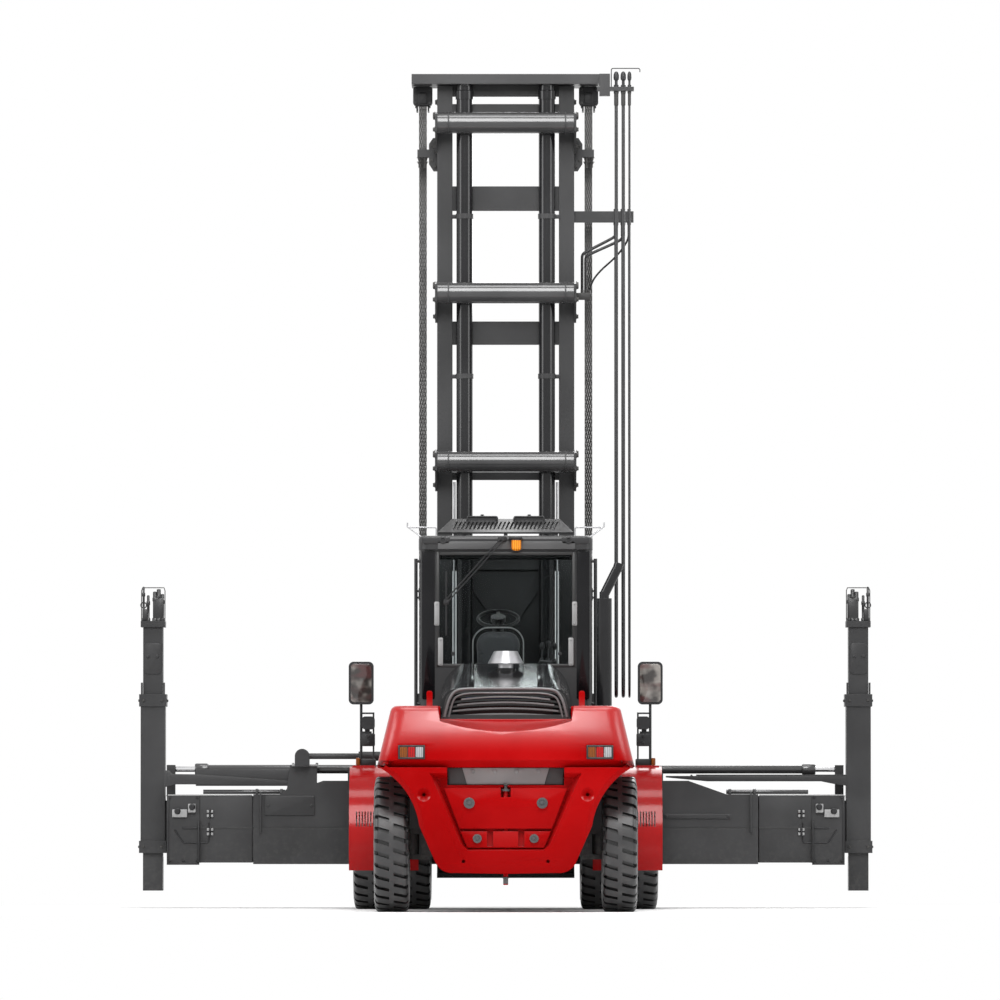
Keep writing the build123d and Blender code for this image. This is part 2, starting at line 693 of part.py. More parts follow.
for side, name in ((-1, "left"), (1, "right")):
    door_x = sorted((side * (cab_half - door_thick), side * cab_half))
    pane_y = (door_y[0] + 70, door_y[1] - 70)
    pane_z = (floor_top_z + 330, roof_bottom_z - 60)
    with BuildPart() as door:
        block(door_x, door_y, (floor_top_z + 5, roof_bottom_z - 5))
        block((door_x[0] - 1, door_x[1] + 1), pane_y, pane_z, mode=Mode.SUBTRACT)
        for z in (floor_top_z + 350, roof_bottom_z - 350):
            block(door_x, (door_y[0] - 4.7, door_y[0]), (z - 50, z + 50))
    save(door.part, f"door_{name}")
    with BuildPart() as door_glass:
        mid = side * (cab_half - door_thick / 2)
        block((mid - glass_thick / 2, mid + glass_thick / 2), pane_y, pane_z)
    save(door_glass.part, f"door_glass_{name}")

guard_y = cab_rear_y + 350
guard_z = 2995
guard_half = (540, 430)
guard_run = 320
guard_tilt = (0, -115, 300)
guard_slots = 26
guard_slot_pitch = 32
guard_slot = (14, 190)
guard_slot_slant = -9
with BuildPart() as roof_guard:
    with BuildSketch(Plane(origin=(0, guard_y, guard_z), x_dir=(1, 0, 0), z_dir=guard_tilt)):
        with BuildLine():
            Polyline((-guard_half[0], 0), (guard_half[0], 0), (guard_half[1], guard_run),
                     (-guard_half[1], guard_run), close=True)
        make_face()
        with GridLocations(guard_slot_pitch, 1, guard_slots, 1) as row:
            places = [place.position for place in row.locations]
        with Locations(*((place.X, guard_run / 2) for place in places)):
            Rectangle(*guard_slot, rotation=guard_slot_slant, mode=Mode.SUBTRACT)
    extrude(amount=14)
    for x in (-400, 0, 400):
        for y, top in ((guard_y + 20, guard_z + 5), (guard_y + 280, guard_z + 112)):
            block((x - 15, x + 15), (y - 12, y + 12), (roof_top_z, top))
    for x in both((60, 315)):
        rounded_plate(x, (guard_z + 100, guard_z + 150), (guard_y + 250, guard_y + 330), 22)
save(roof_guard.part, "roof_guard")

with BuildPart() as seat:
    block((-240, 120), (cab_rear_y + 160, cab_rear_y + 640), (floor_top_z, floor_top_z + 380))
    block((-310, 190), (cab_rear_y + 140, cab_rear_y + 680), (floor_top_z + 380, floor_top_z + 520))
    side_plate(((cab_rear_y + 140, floor_top_z + 520), (cab_rear_y + 280, floor_top_z + 520),
                (cab_rear_y + 210, 2255), (cab_rear_y + 90, 2255)), (-270, 150))
save(seat.part, "seat")

with BuildPart() as controls:
    wheel_center = (-60, cab_front_y - 470, 2330)
    bar((-60, cab_front_y - 160, floor_top_z), (-60, cab_front_y - 160, floor_top_z + 90), 80)
    bar((-60, cab_front_y - 160, floor_top_z + 60), wheel_center, 45)
    with Locations(Plane(origin=wheel_center, z_dir=(0, -0.45, 1))):
        Cylinder(60, 40)
        Torus(160, 15)
        Box(300, 30, 14)
    block((-330, 330), (cab_front_y - cab_wall - 90, cab_front_y - cab_wall), (floor_top_z, 1480))
    block((250, 420), (cab_rear_y + 200, cab_rear_y + 760), (floor_top_z, 1960))
save(controls.part, "controls")

# Exhaust, rails, mirrors, lamps
stack_y = front_axle_y - 1950
with BuildPart() as exhaust:
    bar((780, stack_y, frame_top_z - 5), (780, stack_y, 2520), 38)
    bar((780, stack_y, 1610), (780, stack_y, 2470), 60)
    bar((780, stack_y, 2500), (880, stack_y, 2700), 38)
    bar((880, stack_y, 2690), (898, stack_y, 2750), 38)
save(exhaust.part, "exhaust")

with BuildPart() as handrails:
    for side in (-1, 1):
        x = side * (cab_half + 32)
        y = cab_rear_y + 80
        bar((x, y, 1620), (x, y, 2790), 14)
        for z in (1640, 2770):
            bar((side * cab_half, y, z), (x, y, z), 12)
save(handrails.part, "handrails")

mirror_y = front_axle_y + 30
with BuildPart() as mirrors:
    for side in (-1, 1):
        x = side * light_x
        bar((x, mirror_y, fender_pad_z), (x, mirror_y, 1700), 11)
        rounded_plate((x - mirror_half, x + mirror_half), mirror_z, (mirror_y - 30, mirror_y + 30),
                      mirror_round)
        inner = side * (light_x - 100)
        bar((inner, mirror_y, fender_pad_z), (inner, mirror_y, 1590), 7)
        bar((inner, mirror_y, 1583), (x, mirror_y, 1583), 7)
        block(sorted((side * 1085, side * (light_x + 8))), (mirror_y - 25, mirror_y + 25), (1340, 1436))
        rounded_plate(sorted((side * 1060, side * 1165)), (1452, 1557), (mirror_y - 60, mirror_y + 60), 28)
        block(sorted((side * 1100, side * 1140)), (mirror_y - 20, mirror_y + 20), (1430, 1460))
save(mirrors.part, "mirrors")

beacon_x = 84
beacon_z = roof_top_z - 30
beacon_radius = 40
beacon_height = 92
with BuildPart() as beacon:
    y = cab_rear_y - 30
    block((beacon_x - 60, beacon_x + 50), (y - 90, y), (beacon_z, beacon_z + 20))
    with Locations((beacon_x, y - 50, beacon_z)):
        Cylinder(beacon_radius, beacon_height, align=(Align.CENTER, Align.CENTER, Align.MAX))
save(beacon.part, "beacon")

# Outer mast
pad_z = (rail_top_z - 260, rail_top_z - 60)
with BuildPart() as outer_mast:
    rail_z = (rail_bottom_z, rail_top_z)
    for x in both((rail_outer_x - rail_web, rail_outer_x)):
        block(x, (rail_rear_y, rail_front_y), rail_z)
    for x in both((rail_inner_x, rail_outer_x)):
        block(x, (rail_rear_y, rail_rear_y + rail_flange), rail_z)
        block(x, (rail_front_y - rail_flange, rail_front_y), rail_z)
    for x in both((rail_lip_x, rail_inner_x)):
        block(x, (rail_rear_y, rail_rear_y + rail_flange), (rail_lip_z, rail_top_z))
    for x in both((rail_inner_x + 15, rail_inner_x + 75)):
        block(x, (rail_rear_y + rail_flange, inner_y0 - slide_gap), pad_z)
        block(x, (inner_y1 + slide_gap, rail_front_y - rail_flange), pad_z)
    for level in tube_levels:
        bar((-rail_outer_x, tube_y, level), (rail_outer_x, tube_y, level), tube_radius)
        for x in both((rail_outer_x, rail_outer_x + gusset_plate)):
            side_plate(((tube_y - 60, level - 70), (tube_y - 60, level + 70), (rail_rear_y + 90, level + 110),
                        (rail_rear_y + 90, level - 230), (rail_rear_y, level - 230)), x)
    block((-rail_outer_x, rail_outer_x), (lift_y - barrel_radius, rail_rear_y + rail_flange),
          (rail_bottom_z, rail_bottom_z + 40))
    for x in both((frame_outer_x + 18, rail_outer_x - 12)):
        block(x, (pivot_y, rail_rear_y + 10), (pivot_z - 75, pivot_z + 75))
        bar((x[0], pivot_y, pivot_z), (x[1], pivot_y, pivot_z), 75)
    for side in (-1, 1):
        bar((side * frame_outer_x, pivot_y, pivot_z), (side * (rail_outer_x + 5), pivot_y, pivot_z),
            pivot_radius + run_gap, mode=Mode.SUBTRACT)
        for low, high in ((tilt_x - 48, tilt_x - 30), (tilt_x + 30, tilt_x + 48)):
            x = sorted((side * low, side * high))
            block(x, (tilt_eye_y, rail_rear_y), (tilt_eye_z - 45, tilt_eye_z + 45))
            bar((x[0], tilt_eye_y, tilt_eye_z), (x[1], tilt_eye_y, tilt_eye_z), 45)
        bar((side * (tilt_x - 48), tilt_eye_y, tilt_eye_z), (side * (tilt_x + 48), tilt_eye_y, tilt_eye_z),
            eye_pin_radius)
    anchor_y = (sheave_y - 130, sheave_y - 70)
    anchor_outer = rail_outer_x + anchor_width
    clamp_outer = chain_x + chain_width / 2 + 12
    for side in (-1, 1):
        end_plate(((side * rail_outer_x, anchor_z[0]), (side * (rail_outer_x + 30), anchor_z[0]),
                   (side * anchor_outer, anchor_z[0] + 60), (side * anchor_outer, anchor_z[1] - 50),
                   (side * (rail_outer_x + 35), anchor_z[1]), (side * rail_outer_x, anchor_z[1])), anchor_y)
        block(sorted((side * rail_outer_x, side * clamp_outer)), anchor_y, clamp_z)
    bracket_y = (hose_front_y - hose_arm_half, hose_front_y + hose_arm_half)
    block((rail_outer_x, hose_arm_x[1]), bracket_y, hose_bracket_z)
save(outer_mast.part, "outer_mast")

with BuildPart() as lift_barrels:
    for x in (-lift_x, lift_x):
        bar((x, lift_y, rail_bottom_z + 40), (x, lift_y, barrel_top_z), barrel_radius)
        bar((x, lift_y, barrel_top_z - 70), (x, lift_y, barrel_top_z), barrel_radius + 7)
        bore_low = (x, lift_y, rail_bottom_z + 90)
        bar(bore_low, (x, lift_y, barrel_top_z - 100), rod_radius + 7, mode=Mode.SUBTRACT)
        bar(bore_low, (x, lift_y, barrel_top_z + 1), rod_radius + slide_gap, mode=Mode.SUBTRACT)
save(lift_barrels.part, "lift_barrels")

# Inner mast with the chain sheaves
with BuildPart() as inner_mast:
    inner_z = (inner_bottom_z, beam_bottom_z)
    for x in both((inner_x1 - rail_web, inner_x1)):
        block(x, (inner_y0, inner_y1), inner_z)
    for x in both((inner_x0, inner_x1)):
        block(x, (inner_y0, inner_y0 + inner_wall), inner_z)
        block(x, (inner_y1 - inner_wall, inner_y1), inner_z)
    for low, high in cross_plates:
        block((-inner_x0, inner_x0), (inner_y0, inner_y0 + inner_wall), (low, high))
    block((-764, 770), (front_axle_y + 60, sheave_y + 100), (beam_bottom_z, beam_bottom_z + beam_height))
    arm_y = (hose_rear_y - hose_arm_half, hose_rear_y + hose_arm_half)
    block(hose_arm_x, arm_y, (hose_top_z, hose_top_z + hose_arm_thick))
    block(arm_foot_x, arm_y, (hose_top_z - 40, beam_bottom_z + beam_height))
    roller = (inner_y1 - inner_y0) / 2 + nest_gap - slide_gap
    for x in both((inner_x0 + 8, inner_x1)):
        bar((x[0], channel_mid_y, inner_bottom_z + 30), (x[1], channel_mid_y, inner_bottom_z + 30), roller)
    for side in (-1, 1):
        for edge in (-1, 1):
            cheek = side * chain_x + edge * (chain_width / 2 + 14)
            block((cheek - 7, cheek + 7), (sheave_y - 90, sheave_y + 90), (sheave_z - 70, beam_bottom_z))
        bar((side * chain_x - 46, sheave_y, sheave_z), (side * chain_x + 46, sheave_y, sheave_z), 25)
        bar((side * chain_x - chain_width / 2, sheave_y, sheave_z),
            (side * chain_x + chain_width / 2, sheave_y, sheave_z), sheave_radius - slide_gap)
    inner_hollow = (inner_y0 + inner_wall, inner_y1 - inner_wall)
    for x in both((inner_x0 - 1, inner_x1 - rail_web)):
        block(x, inner_hollow, (0, beam_bottom_z), mode=Mode.SUBTRACT)
save(inner_mast.part, "inner_mast")

with BuildPart() as lift_rods:
    for x in (-lift_x, lift_x):
        bar((x, lift_y, rail_bottom_z + 600), (x, lift_y, beam_bottom_z), rod_radius)
save(lift_rods.part, "lift_rods")

chain_seat_z = 1750
with BuildPart() as chains_front:
    for side in (-1, 1):
        x = (side * chain_x - chain_width / 2, side * chain_x + chain_width / 2)
        band((0, sheave_y, sheave_z), x, (sheave_radius, sheave_radius + chain_thick))
        block(x, (sheave_y - 200, sheave_y + 200), (sheave_z - 200, sheave_z), mode=Mode.SUBTRACT)
        block(x, (sheave_y + sheave_radius, sheave_y + sheave_radius + chain_thick), (chain_seat_z, sheave_z))
save(chains_front.part, "chains_front")

with BuildPart() as chains_rear:
    for side in (-1, 1):
        x = (side * chain_x - chain_width / 2, side * chain_x + chain_width / 2)
        block(x, (sheave_y - sheave_radius - chain_thick, sheave_y - sheave_radius), (clamp_z[1], sheave_z))
save(chains_rear.part, "chains_rear")

# Tilt cylinders
tilt_axis = (Vector(0, tilt_eye_y, tilt_eye_z) - Vector(0, tilt_base_y, tilt_base_z)).normalized()
with BuildPart() as tilt_barrels:
    for x in (-tilt_x, tilt_x):
        base = Vector(x, tilt_base_y, tilt_base_z)
        bar((x - 30, tilt_base_y, tilt_base_z), (x + 30, tilt_base_y, tilt_base_z), 40)
        bar(base, base + tilt_axis * tilt_barrel_length, tilt_radius)
        bar(base + tilt_axis * 80, base + tilt_axis * (tilt_barrel_length + 1), tilt_rod_radius + slide_gap,
            mode=Mode.SUBTRACT)
        bar((x - 60, tilt_base_y, tilt_base_z), (x + 60, tilt_base_y, tilt_base_z), tilt_pin_radius + run_gap,
            mode=Mode.SUBTRACT)
save(tilt_barrels.part, "tilt_barrels")

with BuildPart() as tilt_rods:
    for x in (-tilt_x, tilt_x):
        eye = Vector(x, tilt_eye_y, tilt_eye_z)
        bar(eye, eye - tilt_axis * 580, tilt_rod_radius)
        bar((x - 26, tilt_eye_y, tilt_eye_z), (x + 26, tilt_eye_y, tilt_eye_z), 38)
        bar((x - 30, tilt_eye_y, tilt_eye_z), (x + 30, tilt_eye_y, tilt_eye_z), eye_pin_radius + eye_play,
            mode=Mode.SUBTRACT)
save(tilt_rods.part, "tilt_rods")

# Carriage
roller_radius = (inner_y1 - inner_y0) / 2 - inner_wall - slide_gap
shift_barrel_x = (-1200, -420)
shift_barrel_radius = 38
shift_rod_radius = 24
face_plate = 40
brace_width = 120
brace_z = 2330
with BuildPart() as carriage:
    for x in both((carriage_plate_x, carriage_plate_x + carriage_plate)):
        block(x, (inner_y0 + 33, carriage_face_y), (carriage_bottom_z, carriage_top_z))
    plate_x = carriage_plate_x + carriage_plate
    face_y = (carriage_face_y - face_plate, carriage_face_y)
    brace_y = (face_y[0], carriage_face_y - 15)
    block((-shift_rail_half, shift_rail_half), face_y, (carriage_bottom_z, 1200))
    chain_arm = chain_x + chain_width / 2 + 20
    block((-chain_arm, chain_arm), (carriage_face_y - 60, carriage_face_y), (1450, chain_seat_z))
    head_z = carriage_top_z - 150
    block((-plate_x, plate_x), face_y, (head_z, carriage_top_z))
    for side in (-1, 1):
        end_plate(((side * plate_x, head_z), (side * (plate_x - brace_width), head_z), (0, brace_z),
                   (side * (plate_x - brace_width), chain_seat_z), (side * plate_x, chain_seat_z),
                   (side * 90, brace_z)), brace_y)
    block((-brace_width, brace_width), brace_y, (brace_z - 70, brace_z + 70))
    block((-plate_x, plate_x), (brace_y[1], carriage_face_y), (chain_seat_z, head_z))
    for x in both((plate_x, inner_x1 - rail_web - 5)):
        for z in (carriage_bottom_z + 150, chain_seat_z - 150, carriage_top_z - 110):
            bar((x[0], channel_mid_y, z), (x[1], channel_mid_y, z), roller_radius)
    for z in shift_levels:
        block((-shift_rail_half, shift_rail_half), (carriage_face_y, carriage_face_y + shift_rail),
              (z, z + shift_rail))
    shift_line = (shift_cylinder_y, shift_cylinder_z)
    bar((shift_barrel_x[0], *shift_line), (shift_barrel_x[1], *shift_line), shift_barrel_radius)
    saddle_x = (-570, -430)
    block(saddle_x, face_y, (carriage_bottom_z + 700, shift_cylinder_z + 20))
    block(saddle_x, (face_y[0], shift_cylinder_y), (shift_cylinder_z - 36, shift_cylinder_z + 20))
    bar((shift_barrel_x[0] - 1, *shift_line), (shift_barrel_x[1] - 40, *shift_line),
        shift_rod_radius + slide_gap, mode=Mode.SUBTRACT)
save(carriage.part, "carriage")

# Spreader: a main beam with two channels, one telescoping arm in each
mid_y = spread_rear_y + spread_depth / 2
spread_y = (spread_rear_y, spread_rear_y + spread_depth)
channel_y = (
    (spread_y[0] + spread_wall, mid_y - spread_wall / 2),
    (mid_y + spread_wall / 2, spread_y[1] - spread_wall),
)
channel_z = (spread_bottom_z + 25, spread_top_z - 25)
telescope_y = [(low + high) / 2 for low, high in channel_y]
shift_lug_x = (-1720, -1600)
shift_lug_z = 1170
shift_lug_foot = 60
with BuildPart() as spreader_beam:
    end_plate(((-beam_half, spread_bottom_z), (beam_half, spread_bottom_z), (beam_half, spread_top_z),
               (1800, spread_top_z), (1490, spread_hump_z), (-1490, spread_hump_z), (-1800, spread_top_z),
               (-beam_half, spread_top_z)), spread_y)
    for y in channel_y:
        block((-beam_half - 1, beam_half + 1), y, channel_z, mode=Mode.SUBTRACT)
    for y in ((spread_y[0] - 1, spread_y[0] + 8), (spread_y[1] - 8, spread_y[1] + 1)):
        block((-beam_half - 1, beam_half + 1), y, (648, 662), mode=Mode.SUBTRACT)
    block((-1450, 1450), (spread_y[0] + 20, spread_y[1] - 20), (spread_top_z - 10, spread_hump_z - 15),
          mode=Mode.SUBTRACT)
    for x in both((240, 360)):
        rail_front = carriage_face_y + shift_rail
        top = shift_levels[1] + shift_rail
        shoe_z = (shift_levels[0] - 10, shift_levels[0] + shift_rail + 10)
        block(x, (rail_front + slide_gap, spread_y[0]), shoe_z)
        block(x, (rail_front + slide_gap, spread_y[0] + 40), (spread_hump_z - 60, top + hook_lip))
        block(x, (carriage_face_y + 5, spread_y[0] + 40), (top + slide_gap, top + hook_lip))
    lug_y = (shift_cylinder_y - 40, spread_y[0] + shift_lug_foot)
    lug_x = (shift_lug_x[0] + shift_lug_x[1]) / 2
    block(shift_lug_x, lug_y, (shift_lug_z - 10, shift_cylinder_z))
    bar((lug_x, lug_y[0], shift_cylinder_z), (lug_x, lug_y[1], shift_cylinder_z), shift_lug_x[1] - lug_x)
    foot_x = (shift_lug_x[0] - 130, shift_lug_x[1] + 60)
    end_plate(((foot_x[0], spread_top_z - 20), (foot_x[1], spread_top_z - 20), (foot_x[1], shift_lug_z),
               (shift_lug_x[0] - 40, shift_lug_z), (shift_lug_x[0] - 65, spread_top_z + 45)),
              (spread_y[0], spread_y[0] + shift_lug_foot))
    bar((shift_lug_x[1] - 10, *shift_line), (-820, *shift_line), shift_rod_radius)
    for side, y in ((-1, telescope_y[0]), (1, telescope_y[1])):
        for x in (-500, 1250):
            block(sorted((side * (x - 40), side * (x + 40))), (y - 45, y + 45),
                  (spread_hump_z - 10, telescope_z))
        barrel_end = side * 2440
        bar((side * -720, y, telescope_z), (barrel_end, y, telescope_z), telescope_radius)
        bar((side * -680, y, telescope_z), (barrel_end + side, y, telescope_z), telescope_rod + slide_gap,
            mode=Mode.SUBTRACT)
save(spreader_beam.part, "spreader_beam")

# Lines that stand on a leg's cap: offset from the post's middle, radius, top z
leg_gear = ((-76, 13, 2570), (-46, 16, 2610), (-14, 15, 2590), (40, 10, 2560), (78, 8, 2630))
leg_size = (sleeve_size[0] - 2 * sleeve_wall - 2 * leg_gap, sleeve_size[1] - 2 * sleeve_wall - 2 * leg_gap)
for side, name, lane in ((-1, "left", 0), (1, "right", 1)):
    arm_y = (channel_y[lane][0] + arm_gap, channel_y[lane][1] - arm_gap)
    arm_z = (channel_z[0] + 15, channel_z[1] - 15)

    def span(low, high):
        """Mirrors an outward x range to this side."""
        return sorted((side * low, side * high))

    def sleeve(z, grow, mode=Mode.ADD):
        """Adds or cuts a rectangular tube length about the post."""
        block(span(post_x - sleeve_size[0] / 2 - grow, post_x + sleeve_size[0] / 2 + grow),
              (post_y - sleeve_size[1] / 2 - grow, post_y + sleeve_size[1] / 2 + grow), z, mode=mode)

    with BuildPart() as arm:
        block(span(arm_tail_x, arm_reach_x), arm_y, arm_z)
        block(span(arm_tail_x, arm_tail_x + 120),
              (channel_y[lane][0] + slide_gap, channel_y[lane][1] - slide_gap),
              (channel_z[0] + slide_gap, channel_z[1] - slide_gap))
        block(span(arm_tail_x - 1, arm_reach_x - 20), (arm_y[0] + arm_wall, arm_y[1] - arm_wall),
              (arm_z[0] + arm_wall, arm_z[1] - arm_wall), mode=Mode.SUBTRACT)
        block(span(*end_box_x), (spread_y[0] + 20, spread_y[1] - 20), (370, 920))
        block(span(end_box_x[0] + 14, end_box_x[1] - 14), (spread_y[0] + 34, spread_y[1] - 19), (384, 906),
              mode=Mode.SUBTRACT)
        block(span(end_box_x[1], post_x - sleeve_size[0] / 2), (post_y - 90, post_y + 90), (460, 880))
        sleeve(sleeve_z, 0)
        sleeve((sleeve_z[0], sleeve_z[0] + collar_height), collar_edge)
        sleeve((sleeve_z[1] - collar_height, sleeve_z[1]), collar_edge)
        for offset in (-98, 84):
            block(span(post_x + offset, post_x + offset + 14), (post_y - 130, post_y - 60),
                  (sleeve_z[1] - 10, sleeve_z[1] + 95))
        sleeve((sleeve_z[0] - 1, sleeve_z[1] + 1), -sleeve_wall, mode=Mode.SUBTRACT)
        pad = sleeve_wall + leg_gap - slide_gap
        for z in (sleeve_z[0], sleeve_z[1] - 60):
            for edge in (-1, 1):
                y = sorted((post_y + edge * (sleeve_size[1] / 2 - sleeve_wall + 1),
                            post_y + edge * (sleeve_size[1] / 2 - pad)))
                block(span(post_x - 60, post_x + 60), y, (z, z + 60))
        block(span(post_x - 70, post_x + 70), (post_y + sleeve_size[1] / 2, lock_front_y - 40), (1400, 1620))
        lug_y = telescope_y[lane]
        block(span(2700, 2770), (lug_y - 35, lug_y + 35), (915, telescope_z + 35))
        bar((side * 2710, lug_y, telescope_z), (side * -300, lug_y, telescope_z), telescope_rod)
        block(span(1560, 2790), (mid_y - 45, mid_y + 45), (1050, 1092))
        block(span(2600, 2780), (mid_y - 45, mid_y + 45), (915, 1055))
    save(arm.part, f"arm_{name}")

    with BuildPart() as leg:
        leg_x = span(post_x - leg_size[0] / 2, post_x + leg_size[0] / 2)
        leg_y = (post_y - leg_size[1] / 2, post_y + leg_size[1] / 2)
        block(leg_x, leg_y, leg_z)
        block((leg_x[0] + 12, leg_x[1] - 12), (leg_y[0] + 12, leg_y[1] - 12), (leg_z[0] + 20, leg_z[1] + 1),
              mode=Mode.SUBTRACT)
        block(span(post_x - 100, post_x + 100), (post_y - 130, post_y + 130), (leg_z[1], leg_z[1] + 50))
        block(span(post_x - 75, post_x + 75), (leg_y[1] - 10, lock_front_y), (leg_z[0], leg_z[0] + 45))
        block(span(post_x - 75, post_x + 75), (post_y + sleeve_size[1] / 2 + 28, lock_front_y),
              (leg_z[0], sleeve_z[0] - 30))
        for offset, radius, top in leg_gear:
            x = side * (post_x + offset)
            bar((x, post_y - 70, leg_z[1] + 40), (x, post_y - 70, top), radius)
    save(leg.part, f"leg_{name}")

# Hoses: each hangs in a loop from the inner mast's bracket to the outer mast's bracket
for number, (x, diameter) in enumerate(hoses, start=1):
    bend_z = hose_low_z + diameter / 2 + hose_bend
    with BuildPart() as hose:
        with BuildLine() as path:
            Line((x, hose_rear_y, hose_top_z), (x, hose_rear_y, bend_z))
            ThreePointArc((x, hose_rear_y, bend_z), (x, hose_rear_y + hose_bend, bend_z - hose_bend),
                          (x, hose_front_y, bend_z))
            Line((x, hose_front_y, bend_z), (x, hose_front_y, hose_bracket_z[0]))
        with BuildSketch(Plane(origin=(x, hose_rear_y, hose_top_z), z_dir=(0, 0, -1))):
            Circle(diameter / 2)
        sweep()
    save(hose.part, f"hose_{number}")
    print(f"hose_{number}: bend radius {hose_bend} mm on a diameter of {diameter} mm")
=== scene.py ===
"""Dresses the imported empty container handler: finishes, fittings, hoses, chains, studio and camera."""

from __future__ import annotations

import json
import logging
import math
from dataclasses import dataclass
from enum import Enum
from functools import cache
from typing import Any, Callable, Iterable, Sequence, Union

import bmesh
import bpy
from bmesh.types import BMEdge, BMesh, BMVert
from mathutils import Matrix, Vector

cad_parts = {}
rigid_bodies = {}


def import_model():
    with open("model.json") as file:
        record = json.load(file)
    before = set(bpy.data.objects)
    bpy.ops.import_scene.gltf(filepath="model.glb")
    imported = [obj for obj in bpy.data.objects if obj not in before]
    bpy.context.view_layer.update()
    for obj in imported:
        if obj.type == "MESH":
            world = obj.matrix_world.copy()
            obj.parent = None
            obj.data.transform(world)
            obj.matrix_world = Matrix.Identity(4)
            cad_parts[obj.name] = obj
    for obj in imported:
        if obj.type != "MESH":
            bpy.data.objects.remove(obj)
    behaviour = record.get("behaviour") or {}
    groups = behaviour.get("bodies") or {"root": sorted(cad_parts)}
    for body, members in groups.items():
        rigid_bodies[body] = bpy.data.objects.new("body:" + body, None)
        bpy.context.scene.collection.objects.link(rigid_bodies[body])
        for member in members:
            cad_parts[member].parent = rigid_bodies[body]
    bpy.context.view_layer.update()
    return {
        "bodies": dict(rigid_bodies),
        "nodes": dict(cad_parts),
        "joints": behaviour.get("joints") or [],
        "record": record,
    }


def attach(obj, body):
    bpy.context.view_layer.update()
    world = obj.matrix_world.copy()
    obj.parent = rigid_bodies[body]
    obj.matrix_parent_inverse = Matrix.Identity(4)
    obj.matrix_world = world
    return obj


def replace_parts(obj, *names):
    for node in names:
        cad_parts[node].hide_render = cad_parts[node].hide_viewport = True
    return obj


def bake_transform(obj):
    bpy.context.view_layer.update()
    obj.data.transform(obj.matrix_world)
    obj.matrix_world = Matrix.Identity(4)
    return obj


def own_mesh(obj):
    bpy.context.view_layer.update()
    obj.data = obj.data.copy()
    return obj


LOG = logging.getLogger("container_handler")

Point = Sequence[float]
Colour = tuple[float, float, float]

FRONT_AXLE_Y = 1.185
REAR_AXLE_Y = -1.815
REAR_END_Y = -2.665
AXLE_Z = 0.5275
STEER_X = 0.888
TWIN_X = (0.739, 1.091)
CAB_REAR_Y = FRONT_AXLE_Y - 1.800
HOSE_XS = (0.897, 0.954, 1.004)
HOSE_Y = FRONT_AXLE_Y + 0.355
CHAIN_X = 0.675
SHEAVE_Y = FRONT_AXLE_Y + 0.500
SHEAVE_Z = 6.560

UP = (0.0, 0.0, 1.0)
DOWN = (0.0, 0.0, -1.0)
REARWARD = (0.0, -1.0, 0.0)
RIGHTWARD = (1.0, 0.0, 0.0)
SIDES = (-1.0, 1.0)
NAMED_SIDES = ((-1.0, "left"), (1.0, "right"))
CRISP = 30.0
MERGE = 1e-5


def tinted(colour: Colour, gain: float, lift: float = 0.0) -> Colour:
    """Makes a colour deeper or paler.

    Args:
        colour: The colour.
        gain: What its parts are multiplied by.
        lift: What is then added to them.

    Returns:
        The new colour, with no part above 1.
    """
    return tuple(min(1.0, gain * part + lift) for part in colour)


def linked(name: str, data: bpy.types.ID) -> bpy.types.Object:
    """Makes an object and links it into the scene.

    Args:
        name: Its name.
        data: Its mesh, curve, light or camera.

    Returns:
        The object.
    """
    made = bpy.data.objects.new(name, data)
    bpy.context.scene.collection.objects.link(made)
    return made


class Axis(Enum):
    """The three axes of the machine: across, forward and up."""

    X = 0
    Y = 1
    Z = 2


class Wire:
    """A shader socket that takes part in Python expressions; each operator adds one Math node."""

    def __init__(self, graph: "Graph", socket: bpy.types.NodeSocket) -> None:
        """Keeps the socket and the graph that it belongs to."""
        self.graph = graph
        self.socket = socket

    def maths(self, operation: str, first: "Value", second: "Value" = 0.0) -> "Wire":
        """Adds one Math node.

        Args:
            operation: The Math node's operation.
            first: Its first value.
            second: Its second value.

        Returns:
            The node's result.
        """
        return self.graph.node("Math", {"operation": operation}, {0: first, 1: second})

    def __add__(self, other: "Value") -> "Wire":
        """Sum."""
        return self.maths("ADD", self, other)

    __radd__ = __add__

    def __mul__(self, other: "Value") -> "Wire":
        """Product."""
        return self.maths("MULTIPLY", self, other)

    __rmul__ = __mul__

    def __sub__(self, other: "Value") -> "Wire":
        """Difference."""
        return self.maths("SUBTRACT", self, other)

    def __rsub__(self, other: "Value") -> "Wire":
        """Difference, the other way round."""
        return self.maths("SUBTRACT", other, self)

    def within(self, low: float, high: float) -> "Wire":
        """A smooth step from 0 at low to 1 at high.

        Args:
            low: The value that gives 0.
            high: The value that gives 1.

        Returns:
            The step.
        """
        settings = {"interpolation_type": "SMOOTHSTEP", "clamp": True}
        return self.graph.node("MapRange", settings, {"Value": self, "From Min": low, "From Max": high})


Value = Union[Wire, float, int]


